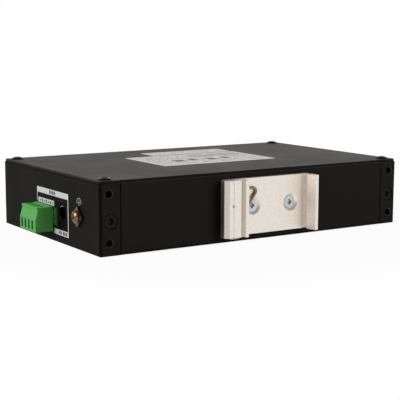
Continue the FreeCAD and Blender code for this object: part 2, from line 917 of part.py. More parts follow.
def plug_contact_set():
    """Contact bars with a channel-shaped spring mouth round each header pin."""
    low = contact_z - contact_sheet / 2
    high = pin_z + pin_size / 2 + contact_gap + contact_sheet
    rear = plug_x(0) + contact_back
    start = plug_x(contact_channel_front)
    contacts = []
    for y in pole_ys:
        bar_x = (plug_x(chamber_front - contact_end_gap), rear)
        bar = block(bar_x, centred(y, contact_width), (low, low + contact_sheet))
        roof = block((start, rear), centred(y, contact_width), (high - contact_sheet, high))
        web_y = y + pin_size / 2 + contact_gap / 2
        web = block((start, rear), (web_y, web_y + contact_sheet), (low, high))
        contacts.append(bar.fuse([roof, web]).removeSplitter())
    return parts_of(contacts)


def dc_jack():
    """Barrel jack: square front flange, round-backed body, blind round mouth."""
    back = jack_front + jack_depth
    lap = jack_front + jack_flange - jack_lap
    flange_z = (board_top, board_top + jack_height)
    flange = block((jack_front, jack_front + jack_flange), centred(jack_y, jack_width), flange_z)
    barrel = rod(V(lap, jack_y, jack_z), X_AXIS, jack_barrel_radius, back - lap)
    base = block((lap, back), centred(jack_y, 2 * jack_barrel_radius), (board_top, jack_z))
    body = flange.fuse([barrel, base]).removeSplitter()
    face = V(jack_front, jack_y, jack_z)
    mouth = rod(face - X_AXIS * cut_through, X_AXIS, jack_hole_radius, jack_hole_depth + cut_through)
    bevel = countersink(face, -X_AXIS, jack_hole_radius + jack_mouth_bevel, jack_hole_radius)
    leaf_room = block(
        (jack_front + jack_flange, jack_front + jack_hole_depth),
        (jack_y - jack_hole_radius - jack_leaf - 2 * jack_leaf_play, jack_y),
        centred(jack_z, jack_leaf_width + 2 * jack_leaf_play),
    )
    return body.cut([mouth, bevel, leaf_room])


def dc_jack_pin():
    """Centre pin with a bevelled nose and its root in the jack's body."""
    reach = jack_hole_depth - jack_pin_recess
    profile = [
        (0, 0),
        (jack_pin_radius, 0),
        (jack_pin_radius, reach - jack_pin_nose),
        (jack_pin_radius - jack_pin_nose, reach),
        (0, reach),
    ]
    return turned(profile, V(jack_front + jack_hole_depth, jack_y, jack_z), -X_AXIS)


def dc_jack_spring():
    """Side contact: a thin strip along the jack's mouth."""
    low_y = jack_y - jack_hole_radius - jack_leaf - jack_leaf_play
    leaf_x = (jack_front + jack_flange + jack_leaf_inset, jack_front + jack_hole_depth - fit_gap)
    return block(leaf_x, (low_y, low_y + jack_leaf), centred(jack_z, jack_leaf_width))


def ground_washer():
    """Square wire clamp under the earth screw: two edges turned in to the wall, a corner down."""
    size = ground_washer_size
    rise = ground_washer_lip + ground_washer_sheet
    washer = block(centred(0, size), centred(0, size), (0, rise))
    upright = [edge for edge in washer.Edges if edge.BoundBox.ZLength > tiny]
    washer = washer.makeChamfer(ground_washer_corner, upright)
    channel_y = size - 2 * ground_washer_edge
    channel = block(centred(0, size + cut_through), centred(0, channel_y), (-cut_through, ground_washer_lip))
    washer = washer.cut([channel, drill(V(0, 0, 0), Z_AXIS, thread_radius + hole_play, rise)])
    washer.rotate(V(0, 0, 0), Z_AXIS, ground_washer_turn)
    washer.rotate(V(0, 0, 0), Y_AXIS, -90)
    washer.translate(V(-half_length, ground_y, ground_z))
    return washer


def ground_screw():
    """Pan head earth screw on its washer, threaded into the clinch nut behind the wall."""
    rise = ground_washer_lip + ground_washer_sheet
    seat = V(-half_length - rise, ground_y, ground_z)
    return pan_head_screw(seat, -X_AXIS, ground_head_radius, ground_head_height, ground_screw_length + rise)


# ---------------------------------------------------------------- board and sockets
def circuit_board():
    """The printed board, with holes for its screws and the header's pins."""
    size_x = 2 * (half_length - sheet - board_edge_gap)
    size_y = 2 * (half_width - sheet - board_side_gap)
    board = block(centred(0, size_x), centred(0, size_y), (board_z, board_top))
    bore = thread_radius + hole_play
    cutters = [drill(V(x, y, board_z), Z_AXIS, bore, board_sheet) for x, y in standoffs]
    through = (board_z - cut_through, board_top + cut_through)
    for y in pole_ys:
        cutters.append(block(centred(pin_drop_x, pin_hole), centred(y, pin_hole), through))
    return board.cut(cutters)


def standoff_set():
    """Threaded hexagonal standoffs welded to the floor under the board's corners."""
    turns = [math.radians(turn) for turn in range(0, 360, 60)]
    hexagon = [(standoff_radius * math.cos(turn), standoff_radius * math.sin(turn)) for turn in turns]
    pillars = []
    for x, y in standoffs:
        corners = [(x + across, y + along) for across, along in hexagon]
        bore = drill(V(x, y, sheet), Z_AXIS, thread_radius + thread_play, board_z - sheet)
        pillars.append(plan_prism(corners, (sheet, board_z)).cut(bore))
    return parts_of(pillars)


def board_screw_set():
    """Cylinder head screws that hold the board on its standoffs."""
    shank = board_sheet + board_screw_length
    profile = [
        (0, -shank),
        (thread_radius, -shank),
        (thread_radius, 0),
        (pan_head_radius, 0),
        (pan_head_radius, pan_head_height),
        (0, pan_head_height),
    ]
    return parts_of([turned(profile, V(x, y, board_top), Z_AXIS) for x, y in standoffs])


def port_xs(block_x):
    """The middles of a block's ports."""
    first = block_x - (ports_per_block - 1) * port_pitch / 2
    return [first + port * port_pitch for port in range(ports_per_block)]


def port_block(block_x):
    """Four sockets side by side: stepped mouths with the latch side down and lamp pockets above."""
    body = block(
        centred(block_x, block_length),
        (port_face - port_depth, port_face),
        (board_top, board_top + port_height),
    )
    floor_z = board_top + port_mouth_rise
    latch_z = floor_z - latch_height
    mouth_y = (port_face - port_cavity_depth, port_face + cut_through)
    latch_y = (port_face - port_cavity_depth / 2, port_face + cut_through)
    cutters = []
    for x in port_xs(block_x):
        cutters.append(block(centred(x, port_mouth_width), mouth_y, (floor_z, floor_z + port_mouth_height)))
        cutters.append(block(centred(x, latch_width), latch_y, (latch_z, floor_z + cut_margin)))
        tip_z = (latch_z - latch_height, latch_z + cut_margin)
        cutters.append(block(centred(x, latch_tip_width), latch_y, tip_z))
        cutters.extend(led_boxes(x, 0))
    return body.cut(cutters)


def led_boxes(x, proud):
    """The two lamp windows over a port's mouth."""
    low = board_top + port_mouth_rise + port_mouth_height + led_rise
    lamp_y = (port_face - led_depth, port_face + proud)
    middles = centred(x, 2 * led_offset)
    return [block(centred(middle, led_width), lamp_y, (low, low + led_height)) for middle in middles]


def port_shield(block_x):
    """A sheet shield over the top, sides and back of a port block."""
    inner = block_length + 2 * shield_gap
    outer = inner + 2 * shield_sheet
    back = port_face - port_depth - shield_gap
    top = board_top + port_height + shield_gap
    y_range = (back - shield_sheet, port_face - shield_set_back)
    shell = block(centred(block_x, outer), y_range, (board_top, top + shield_sheet))
    room = block(centred(block_x, inner), (back, port_face + cut_through), (board_top - cut_through, top))
    return shell.cut(room)


def port_contact_set():
    """Eight sprung wires in the roof of every port, sloping down towards the back."""
    wires = []
    roof = board_top + port_mouth_rise + port_mouth_height
    start = port_face - contact_start
    end = port_face - contact_end
    slope = contact_drop / (contact_end - contact_start)
    profile = [
        (start, roof),
        (end, roof - contact_drop),
        (end, roof - contact_drop + contact_wire),
        (start - contact_wire / slope, roof),
    ]
    for x in [x for block_x in port_block_xs for x in port_xs(block_x)]:
        for wire in range(contact_count):
            side = x + (wire - (contact_count - 1) / 2) * contact_pitch - contact_wire / 2
            wires.append(face_of([V(side, y, z) for y, z in profile]).extrude(V(contact_wire, 0, 0)))
    return parts_of(wires)


def port_led_set():
    """Lamp windows in every port block."""
    ports = [x for block_x in port_block_xs for x in port_xs(block_x)]
    return parts_of([lamp for x in ports for lamp in led_boxes(x, led_proud)])


def status_led_set():
    """Round light guides pressed into the front wall, each with a shallow dome in front of it."""
    rim = lamp_body + sheet
    crown = rim + lamp_proud
    ball_radius = (lamp_radius**2 + lamp_proud**2) / (2 * lamp_proud)
    shoulder = lamp_radius * math.sqrt(0.5)
    shoulder_rise = crown - ball_radius + math.sqrt(ball_radius**2 - shoulder**2)
    profile = [
        (0, 0),
        (lamp_radius, 0),
        (lamp_radius, rim),
        (shoulder, shoulder_rise),
        (0, crown),
    ]
    return parts_of([turned(profile, V(lamp_x, front_inner - lamp_body, z), Y_AXIS) for z in lamp_zs])


def switch_chip():
    """The switching chip in the middle of the board."""
    body = raised(chip_at, chip_size, chip_size, board_top, chip_height)
    return bevel_top(body, chip_bevel)


def heat_sink():
    """Finned sink on the chip."""
    low = board_top + chip_height
    body = raised(chip_at, sink_size, sink_size, low, sink_height)
    pitch = (sink_size - sink_fin_width) / (sink_fins - 1)
    first = chip_at[0] - sink_size / 2 + sink_fin_width
    gap = pitch - sink_fin_width
    gap_y = centred(chip_at[1], sink_size + cut_through)
    gap_z = (low + sink_base, low + sink_height + cut_through)
    starts = [first + fin * pitch for fin in range(sink_fins - 1)]
    return body.cut([block((x, x + gap), gap_y, gap_z) for x in starts])


def magnetics_set():
    """Transformer modules behind the port blocks, one for two ports."""
    middle_y = port_face - port_depth - shield_gap - shield_sheet - magnetics_gap - magnetics_width / 2
    modules = []
    for block_x in port_block_xs:
        for x in centred(block_x, 2 * port_pitch):
            body = raised((x, middle_y), magnetics_length, magnetics_width, board_top, magnetics_height)
            modules.append(bevel_top(body, magnetics_bevel))
    return parts_of(modules)


def capacitor_set():
    """A row of electrolytic cans."""
    places = [V(can_at[0] + can * can_pitch, can_at[1], board_top) for can in range(can_count)]
    return parts_of([rod(at, Z_AXIS, can_radius, can_height) for at in places])


def inductor():
    """Shielded power coil with round corners."""
    body = raised(coil_at, coil_size, coil_size, board_top, coil_height)
    return round_upright_edges(body, coil_corner, corners_of(coil_at, coil_size, coil_size))


def crystal():
    """Clock crystal in a metal can with round ends."""
    body = raised(crystal_at, crystal_length, crystal_width, board_top, crystal_height)
    corners = corners_of(crystal_at, crystal_length, crystal_width)
    return round_upright_edges(body, crystal_width / 2 - fit_gap, corners)


# ---------------------------------------------------------------- nodes
def build():
    """All nodes by name."""
    serial_corner = (
        rating_label_corner[0] + rating_label_size[0] - serial_label_size[0],
        rating_label_corner[1] + rating_label_size[1] + serial_label_gap,
    )
    return {
        "chassis": chassis(),
        "end_cap_left": end_cap(-1),
        "end_cap_right": end_cap(1),
        "top_cover": top_cover(),
        "cover_screws": cover_screw_set(),
        "cap_screws": cap_screw_set(),
        "rating_label": label(rating_label_corner, rating_label_size),
        "serial_label": label(serial_corner, serial_label_size),
        "din_clip": din_clip(),
        "clip_spring": clip_spring(),
        "clip_screws": clip_screw_set(),
        "clip_nuts": parts_of([clinch_nut(V(x, rear_inner, clip_centre_z), Y_AXIS) for x in clip_screw_xs]),
        "terminal_header": terminal_header(),
        "header_pins": header_pin_set(),
        "terminal_plug": terminal_plug(),
        "plug_screws": plug_screw_set(),
        "wire_clamps": wire_clamp_set(),
        "plug_contacts": plug_contact_set(),
        "dc_jack": dc_jack(),
        "dc_jack_pin": dc_jack_pin(),
        "dc_jack_spring": dc_jack_spring(),
        "ground_screw": ground_screw(),
        "ground_washer": ground_washer(),
        "ground_nut": clinch_nut(V(cap_inner, ground_y, ground_z), X_AXIS),
        "circuit_board": circuit_board(),
        "board_standoffs": standoff_set(),
        "board_screws": board_screw_set(),
        "port_block_left": port_block(port_block_xs[0]),
        "port_block_right": port_block(port_block_xs[1]),
        "port_shields": parts_of([port_shield(x) for x in port_block_xs]),
        "port_contacts": port_contact_set(),
        "port_leds": port_led_set(),
        "status_leds": status_led_set(),
        "switch_chip": switch_chip(),
        "heat_sink": heat_sink(),
        "magnetics": magnetics_set(),
        "capacitors": capacitor_set(),
        "inductor": inductor(),
        "crystal": crystal(),
    }


os.makedirs("parts", exist_ok=True)
for node, shape in build().items():
    shape.exportStep("parts/" + node + ".step")
    print(f"{node}: {len(shape.Solids)} solids, valid {shape.isValid()}, volume {shape.Volume:.1f}")
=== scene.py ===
"""Looks of the rail-mounted network switch: finishes, rounded edges, print, screws and the stage.

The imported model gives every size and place, in metres. Each group of pieces has its own operator,
and main() calls them in order.
"""

import math

import bmesh
import bpy
import numpy as np
from mathutils import Matrix, Vector


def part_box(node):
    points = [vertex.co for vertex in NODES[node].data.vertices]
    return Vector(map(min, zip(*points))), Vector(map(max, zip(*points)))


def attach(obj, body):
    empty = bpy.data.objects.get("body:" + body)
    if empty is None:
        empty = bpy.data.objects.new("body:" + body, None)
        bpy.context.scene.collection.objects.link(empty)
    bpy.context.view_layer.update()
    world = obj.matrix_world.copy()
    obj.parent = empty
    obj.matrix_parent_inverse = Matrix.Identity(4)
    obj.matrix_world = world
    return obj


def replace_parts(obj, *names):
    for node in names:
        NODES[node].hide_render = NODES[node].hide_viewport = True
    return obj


bl_info = {
    "name": "Rail switch looks",
    "version": (1, 0, 0),
    "blender": (4, 5, 0),
    "location": "3D View > Sidebar > Switch",
    "description": "Finishes, print, screws and studio for a rail-mounted network switch",
    "category": "Object",
}

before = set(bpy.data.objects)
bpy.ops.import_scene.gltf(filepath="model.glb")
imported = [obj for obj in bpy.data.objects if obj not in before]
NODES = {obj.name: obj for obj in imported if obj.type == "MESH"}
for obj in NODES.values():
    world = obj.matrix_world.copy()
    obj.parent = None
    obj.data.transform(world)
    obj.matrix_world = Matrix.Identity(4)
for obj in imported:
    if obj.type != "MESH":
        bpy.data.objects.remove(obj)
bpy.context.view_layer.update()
MM = 0.001
CONTACT_INSET = 0.3 * MM
BEAD_SIDES = 8
RING_SIDES = 32
RIM_SKIN = 0.04 * MM
SCREW_SHANK = 1.5 * MM
SCREW_PITCH = 0.5 * MM
HEAD_RIM = 0.35
LIP_WALL = 9.3 * MM
LABEL_MARGIN = 2.2 * MM
SCRIBE = 3.9 * MM
COVER_HEAD = 1.0 * MM
EARTH_HEAD = 1.9 * MM
# Cross recesses: arm, width and depth.
COVER_RECESS = (1.35 * MM, 0.9 * MM, 0.7 * MM)
CAP_RECESS = (1.45 * MM, 1.3 * MM, 1.4 * MM)
CLIP_RECESS = (1.2 * MM, 0.8 * MM, 1.2 * MM)
EARTH_RECESS = (1.3 * MM, 0.75 * MM, 0.8 * MM)
# Black rings and wells of painted shade round the screw heads: how far they reach past the head and in under
# it.
RING_OUT = 0.45 * MM
WELL_OUT = 0.42 * MM
HEAD_LAP = 0.1 * MM
WELL_DEPTH = 0.32 * MM
# Barrel jack: its rounded front edges, and a bright metal arc inside its mouth, partly the contact there and
# partly a painted glint, as it covers only the lit part of the mouth.
JACK_EDGE = 0.14 * MM
JACK_MOUTH_Z = 6.6 * MM
ARC_RADIUS = 2.8 * MM
ARC_WIRE = 0.2 * MM
ARC_DEPTH = 0.25 * MM
PRINT_GAP = 0.002 * MM
# Print on the power end, in millimetres: along the wall from the rear one, and up from the base.
FRAME_LOW = 27.9
FRAME_HIGH = 58.6
TITLE_STARTS = (40.4, 42.5, 44.6)
TITLE_WIDE = 1.5
TITLE_ROW = (19.6, 21.2)
RATING_STARTS = (29.3, 30.8, 32.3, 34.6, 36.1)
RATING_ROW = (3.7, 5.2)
MARK_WIDE = 1.15
SIGN_START = 42.4
SIGN_PITCH = 2.05
SIGN_Z = 16.0
SIGN_HALVES = (0.35, 0.65)
DARK_LIFT = 1.4
# Stage: distances at which the floor brightens, and the dark parts of the studio in gloss.
FLOOR_DROP = 0.02 * MM
NEAR_FLOOR = (0.09, 0.17)
NEAR_GLOW = 0.95
DARK_SIDE_EDGE = (0.62, 0.92)
DARK_SIDE_SHARE = 0.1
OVERHEAD_EDGE = (0.40, 0.70)
OVERHEAD_SHARE = 0.12


# ---------------------------------------------------------------- places from the frame
WALLS_LOW, WALLS_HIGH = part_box("chassis")
LEFT_LOW, LEFT_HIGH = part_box("end_cap_left")
RIGHT_LOW, RIGHT_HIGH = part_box("end_cap_right")
LEFT_WALL_X = LEFT_LOW.x
BEND = 1.4 * MM
HOLE_INSET = 4.2 * MM
HOLE_SPACING = 19.5 * MM
HOLE_RADIUS = 1.5 * MM
HOLE_BEVEL = 0.3 * MM
REAR_WALL_Y = WALLS_LOW.y
COVER_TOP_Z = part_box("top_cover")[1].z


# ---------------------------------------------------------------- settings
class SwitchPaint(bpy.types.PropertyGroup):
    """Colours and grain of the painted case."""

    wall_colour: bpy.props.FloatVectorProperty(
        name="Wall colour", description="Powder coat of the walls", subtype="COLOR", size=3,
        min=0.0, max=1.0, default=(0.0110, 0.0102, 0.0092))
    # Lighter than the wall colour: painted sheen that stands in for grazing light on the cover's top.
    cover_colour_with_sheen: bpy.props.FloatVectorProperty(
        name="Cover colour", description="Powder coat of the cover", subtype="COLOR", size=3,
        min=0.0, max=1.0, default=(0.018, 0.0155, 0.0125))
    grain: bpy.props.FloatProperty(
        name="Grain size", description="Width of one speck of the powder coat", subtype="DISTANCE",
        unit="LENGTH", default=0.35 * MM)
    bead: bpy.props.FloatProperty(
        name="Edge bead", description="Radius of the coat's bead on the walls' top edges", subtype="DISTANCE",
        unit="LENGTH", default=0.11 * MM)


class SwitchMetal(bpy.types.PropertyGroup):
    """Colours of the bare metal pieces."""

    clip_colour: bpy.props.FloatVectorProperty(
        name="Clip colour", description="Anodised aluminium of the rail clip", subtype="COLOR", size=3,
        min=0.0, max=1.0, default=(0.905, 0.842, 0.768))
    wire_colour: bpy.props.FloatVectorProperty(
        name="Wire colour", description="Spring wire of the clip", subtype="COLOR", size=3,
        min=0.0, max=1.0, default=(0.30, 0.225, 0.135))
    zinc_colour: bpy.props.FloatVectorProperty(
        name="Zinc colour", description="Zinc plated screws", subtype="COLOR", size=3,
        min=0.0, max=1.0, default=(0.60, 0.63, 0.61))
    earth_colour: bpy.props.FloatVectorProperty(
        name="Earth screw colour", description="Yellow passivated earth screw", subtype="COLOR", size=3,
        min=0.0, max=1.0, default=(0.20, 0.125, 0.075))


class SwitchPlastic(bpy.types.PropertyGroup):
    """Colours of the moulded pieces."""

    plug_colour: bpy.props.FloatVectorProperty(
        name="Plug colour", description="Green of the power plug", subtype="COLOR", size=3,
        min=0.0, max=1.0, default=(0.085, 0.38, 0.075))
    header_colour: bpy.props.FloatVectorProperty(
        name="Header colour", description="Green of the header round the plug", subtype="COLOR", size=3,
        min=0.0, max=1.0, default=(0.035, 0.22, 0.055))


class SwitchPrint(bpy.types.PropertyGroup):
    """White print on the power end and the labels on the cover."""

    ink: bpy.props.FloatVectorProperty(
        name="Ink", description="White print on the power end", subtype="COLOR", size=3,
        min=0.0, max=1.0, default=(0.70, 0.70, 0.71))
    film: bpy.props.FloatVectorProperty(
        name="Label film", description="Label film on the cover", subtype="COLOR", size=3,
        min=0.0, max=1.0, default=(0.545, 0.53, 0.505))
    ink_height: bpy.props.FloatProperty(
        name="Ink height", description="Thickness of the print", subtype="DISTANCE",
        unit="LENGTH", default=0.03 * MM)


class SwitchStage(bpy.types.PropertyGroup):
    """Camera, lamps and floor."""

    camera_place: bpy.props.FloatVectorProperty(
        name="Camera place", description="Where the camera stands", subtype="XYZ", size=3,
        default=(-0.26691, -0.41212, 0.08511))
    azimuth: bpy.props.FloatProperty(
        name="Azimuth", description="Turn of the camera about the vertical", subtype="ANGLE",
        unit="ROTATION", default=math.radians(-32.893))
    elevation: bpy.props.FloatProperty(
        name="Elevation", description="How far the camera looks down", subtype="ANGLE",
        unit="ROTATION", default=math.radians(8.633))
    roll: bpy.props.FloatProperty(
        name="Roll", description="Turn of the camera about its own line of sight", subtype="ANGLE",
        unit="ROTATION", default=math.radians(0.17))
    lens: bpy.props.FloatProperty(name="Lens", description="Focal length in millimetres", default=95.86)
    key_power: bpy.props.FloatProperty(
        name="Key lamp", description="Power of the lamp on the left", subtype="POWER", default=6.6)
    top_power: bpy.props.FloatProperty(
        name="Top lamp", description="Power of the lamp overhead", subtype="POWER", default=4.6)
    fill_power: bpy.props.FloatProperty(
        name="Fill lamp", description="Power of the lamp in front of the clip", subtype="POWER", default=4.9)
    ambient: bpy.props.FloatProperty(
        name="Ambient", description="Strength of the light from all round", default=0.25)
    mirrored: bpy.props.FloatProperty(
        name="Mirrored", description="Strength of the surroundings in gloss", default=0.85)
    shade_side: bpy.props.FloatVectorProperty(
        name="Dark side", description="Direction in which the studio is dark in gloss", subtype="XYZ",
        size=3, default=(-0.80, -0.60, 0.0))


SETTINGS = {
    "switch_paint": SwitchPaint,
    "switch_metal": SwitchMetal,
    "switch_plastic": SwitchPlastic,
    "switch_print": SwitchPrint,
    "switch_stage": SwitchStage,
}


def settings(name):
    """One group of settings of the open scene."""
    return getattr(bpy.context.scene, name)


# ---------------------------------------------------------------- meshes
def new_piece(name, mesh, body, material):
    """Put a mesh in the scene as a piece that rides a body and takes its finish from a slot."""
    piece = bpy.data.objects.new(name, mesh)
    bpy.context.scene.collection.objects.link(piece)
    mesh.materials.clear()
    mesh.materials.append(material)
    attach(piece, body)
    return piece


def fixed_piece(name, parts, finish):
    """One piece on the case from several surfaces."""
    return new_piece(name, mesh_from(name, *joined(parts)), "switch", FINISHES[finish].material)


def mesh_from(name, points, faces, sharp=35.0):
    """A mesh from arrays of points and faces, smooth but for edges sharper than the given angle."""
    mesh = bpy.data.meshes.new(name)
    mesh.from_pydata(points.tolist(), [], [tuple(face) for face in faces])
    work = bmesh.new()
    work.from_mesh(mesh)
    bmesh.ops.remove_doubles(work, verts=work.verts, dist=1e-8)
    bmesh.ops.recalc_face_normals(work, faces=work.faces)
    work.to_mesh(mesh)
    work.free()
    mesh.shade_smooth()
    mesh.set_sharp_from_angle(angle=math.radians(sharp))
    return mesh


def grid_faces(rows, columns, wrap):
    """Quads between the points of a grid, counted row by row; wrap joins the last column to the first."""
    across = columns if wrap else columns - 1
    row, column = np.meshgrid(np.arange(rows - 1), np.arange(across), indexing="ij")
    beside = (column + 1) % columns
    here = row * columns
    above = here + columns
    corners = [here + column, here + beside, above + beside, above + column]
    return np.stack(corners, axis=-1).reshape(-1, 4)


def joined(parts):
    """One set of points and faces from several."""
    points = np.concatenate([part[0] for part in parts])
    faces = []
    first = 0
    for part_points, part_faces in parts:
        faces.extend([[index + first for index in face] for face in part_faces])
        first += len(part_points)
    return points, faces


def basis(axis):
    """Two unit vectors across an axis, and the axis."""
    along = np.array(axis, float) / np.linalg.norm(axis)
    helper = np.array([0.0, 0.0, 1.0]) if abs(along[2]) < 0.9 else np.array([1.0, 0.0, 0.0])
    across = np.cross(helper, along)
    across /= np.linalg.norm(across)
    return np.stack([across, np.cross(along, across), along])


def smooth_step(value):
    """0 below 0, 1 above 1, and 3v^2 - 2v^3 between."""
    inside = np.clip(value, 0.0, 1.0)
    return inside * inside * (3.0 - 2.0 * inside)


def cross_depth(x, y, arm, wide):
    """1 inside a cross of the given arm length and width, 0 outside, with a short slope between."""
    slope = wide * 0.3
    lengthways = smooth_step((arm - np.abs(x)) / slope) * smooth_step((wide / 2 - np.abs(y)) / slope + 0.5)
    crossways = smooth_step((arm - np.abs(y)) / slope) * smooth_step((wide / 2 - np.abs(x)) / slope + 0.5)
    return np.maximum(lengthways, crossways)


def screw_surface(seat, axis, head, shank, recess, turn=0.0):
    """A screw as one turned surface of (s, a): s runs down the profile, a round the axis.

    The head's height at radius r is rim + (crown - rim) (1 - (r / R)^3), less the cross recess's
    depth. Below the head, the shank's radius rises and falls with z / pitch - a / full turn, which
    winds a thread round it. head is (radius, rim height, crown height), shank is (radius, length,
    pitch) and recess is (arm, width, depth).
    """
    head_radius, rim, crown = head
    shank_radius, shank_end, pitch = shank
    arm, wide, deep = recess
    columns = 72
    angle = np.linspace(0.0, 2.0 * np.pi, columns, endpoint=False)
    full = np.ones(columns)
    r = head_radius * np.linspace(0.0, 1.0, 24)[1:, None] * full
    z = rim + (crown - rim) * (1.0 - (r / head_radius) ** 3)
    x = r * np.cos(angle + turn)
    y = r * np.sin(angle + turn)
    z = z - deep * cross_depth(x, y, arm, wide)
    if rim > 0:
        under = np.array([[head_radius, 0.0], [shank_radius, 0.0]])
    else:
        under = np.array([[shank_radius, -(head_radius - shank_radius)]])
    rows = int(shank_end / pitch * 8)
    start = under[-1, 1]
    thread_z = np.linspace(start - 0.1 * pitch, -shank_end + 0.3 * pitch, rows)
    wind = thread_z[:, None] / pitch - angle / (2.0 * np.pi)
    ridge = np.abs(2.0 * (wind - np.floor(wind)) - 1.0)
    thread_r = shank_radius * (0.90 + 0.09 * ridge)
    tip = np.array([[shank_radius * 0.75, -shank_end]])
    radii = np.concatenate([r, under[:, :1] * full, thread_r, tip[:, :1] * full])
    heights = np.concatenate([z, under[:, 1:] * full, thread_z[:, None] * full, tip[:, 1:] * full])
    ring = np.stack([radii * np.cos(angle + turn), radii * np.sin(angle + turn), heights], axis=-1)
    ends = [[0.0, 0.0, crown - deep], [0.0, 0.0, -shank_end]]
    points = np.concatenate([ring.reshape(-1, 3), ends])
    faces = grid_faces(len(radii), columns, True)[:, ::-1].tolist()
    count = len(radii) * columns
    last = (len(radii) - 1) * columns
    for column in range(columns):
        beside = (column + 1) % columns
        faces.append([count, column, beside])
        faces.append([count + 1, last + beside, last + column])
    return points @ basis(axis) + np.array(seat), faces


def plate(low, high):
    """A thin closed plate between two corners."""
    (ax, ay, az), (bx, by, bz) = low, high
    points = np.array([
        [ax, ay, az], [bx, ay, az], [bx, by, az], [ax, by, az],
        [ax, ay, bz], [bx, ay, bz], [bx, by, bz], [ax, by, bz],
    ])
    faces = [[0, 3, 2, 1], [4, 5, 6, 7], [0, 1, 5, 4], [1, 2, 6, 5], [2, 3, 7, 6], [3, 0, 4, 7]]
    return points, faces


def ribbon(centre, width, height, out):
    """A flat stroke of the given width along a line of points, raised along out."""
    centre = np.array(centre, float)
    along = np.gradient(centre, axis=0)
    along /= np.linalg.norm(along, axis=1)[:, None]
    across = np.cross(along, out) * width / 2
    lift = np.array(out) * height
    near, far = centre - across, centre + across
    ring = np.stack([near, far, far + lift, near + lift], axis=1)
    points = ring.reshape(-1, 3)
    faces = grid_faces(len(centre), 4, True).tolist()
    last = (len(centre) - 1) * 4
    faces.append([3, 2, 1, 0])
    faces.append([last, last + 1, last + 2, last + 3])
    return points, faces


def bead(path, radius, out, closed=False):
    """A thin rod as a surface of (s, a): s runs along a line of points and a round it.

    Each point is path(s) + radius (cos a across + sin a out), where across is square to both the
    line and out. A closed rod joins its last point to its first.
    """
    path = np.array(path, float)
    if closed:
        along = np.roll(path, -1, axis=0) - np.roll(path, 1, axis=0)
        path = np.concatenate([path, path[:1]])
        along = np.concatenate([along, along[:1]])
    else:
        along = np.gradient(path, axis=0)
    along /= np.linalg.norm(along, axis=1)[:, None]
    out = np.array(out, float)
    across = np.cross(along, out)
    angle = np.linspace(0.0, 2.0 * np.pi, BEAD_SIDES, endpoint=False)
    ring = across[:, None, :] * np.cos(angle)[:, None] + out * np.sin(angle)[:, None]
    points = (path[:, None, :] + radius * ring).reshape(-1, 3)
    faces = grid_faces(len(path), BEAD_SIDES, True).tolist()
    if not closed:
        last = (len(path) - 1) * BEAD_SIDES
        faces.append(list(range(BEAD_SIDES))[::-1])
        faces.append(list(range(last, last + BEAD_SIDES)))
    return points, faces


def cone_ring(centre, axis, wide, narrow, deep):
    """A thin bevel round a hole, of (s, a): its radius falls from wide to narrow as s goes deep."""
    angle = np.linspace(0.0, 2.0 * np.pi, RING_SIDES, endpoint=False)
    radii = np.array([wide, narrow, narrow - RIM_SKIN, wide - RIM_SKIN, wide])
    heights = np.array([RIM_SKIN / 2, -deep, -deep, RIM_SKIN / 2, RIM_SKIN / 2])
    ring = np.stack([
        radii[:, None] * np.cos(angle),
        radii[:, None] * np.sin(angle),
        heights[:, None] * np.ones(RING_SIDES),
    ], axis=-1).reshape(-1, 3)
    return ring @ basis(axis) + np.array(centre), grid_faces(len(radii), RING_SIDES, True).tolist()


def islands(node):
    """The low and high corners of each separate solid in a node."""
    work = bmesh.new()
    work.from_mesh(NODES[node].data)
    bmesh.ops.remove_doubles(work, verts=work.verts, dist=1e-7)
    waiting = set(work.verts)
    boxes = []
    while waiting:
        front = [waiting.pop()]
        places = []
        while front:
            vertex = front.pop()
            places.append(vertex.co[:])
            for edge in vertex.link_edges:
                beside = edge.other_vert(vertex)
                if beside in waiting:
                    waiting.discard(beside)
                    front.append(beside)
        places = np.array(places)
        boxes.append((places.min(axis=0), places.max(axis=0)))
    work.free()
    return sorted(boxes, key=lambda box: tuple(np.round(box[0], 5)))


def dressed_screws(node, name, along, head_height, crown, recess, finish, turns):
    """Threaded, cross-recessed screws in place of a node's plain ones, heads away from the middle.

    along is 0, 1 or 2 for X, Y or Z. A head height of 0 makes a countersunk head, and crown is the
    height that its dome reaches above the seat.
    """
    parts = []
    for number, (low, high) in enumerate(islands(node)):
        centre = (low + high) / 2
        side = 1.0 if centre[along] > 0 else -1.0
        axis = np.zeros(3)
        axis[along] = side
        seat = centre.copy()
        seat[along] = (high if side > 0 else low)[along] - side * head_height
        head_radius = np.delete(high - low, along).max() / 2
        shank = (SCREW_SHANK, (high - low)[along] - head_height, SCREW_PITCH)
        head = (head_radius, HEAD_RIM * crown, crown)
        parts.append(screw_surface(seat, axis, head, shank, recess, turns[number % len(turns)]))
    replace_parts(fixed_piece(name, parts, finish), node)


# ---------------------------------------------------------------- shared shader groups
def new_group(name, inputs, outputs):
    """A shader group that takes a place and lengths (name, default) and gives numbers by name."""
    group = bpy.data.node_groups.new(name, "ShaderNodeTree")
    group.interface.new_socket("Place", in_out="INPUT", socket_type="NodeSocketVector")
    for label, value in inputs:
        socket = group.interface.new_socket(label, in_out="INPUT", socket_type="NodeSocketFloat")
        socket.default_value = value
    for label in outputs:
        group.interface.new_socket(label, in_out="OUTPUT", socket_type="NodeSocketFloat")
    start = group.nodes.new("NodeGroupInput")
    end = group.nodes.new("NodeGroupOutput")
    return group, start, end


def math_node(tree, operation, first, second=None, clamp=False):
    """A Math node; each operand is a socket or a number."""
    node = tree.nodes.new("ShaderNodeMath")
    node.operation = operation
    node.use_clamp = clamp
    for place, value in enumerate((first, second)):
        if value is None:
            continue
        if isinstance(value, (int, float)):
            node.inputs[place].default_value = value
        else:
            tree.links.new(value, node.inputs[place])
    return node.outputs[0]


def vector_node(tree, operation, first, second=None):
    """A Vector Math node; the first operand is a socket and the second a constant."""
    node = tree.nodes.new("ShaderNodeVectorMath")
    node.operation = operation
    tree.links.new(first, node.inputs[0])
    if second is not None:
        node.inputs[1].default_value = second
    return node.outputs


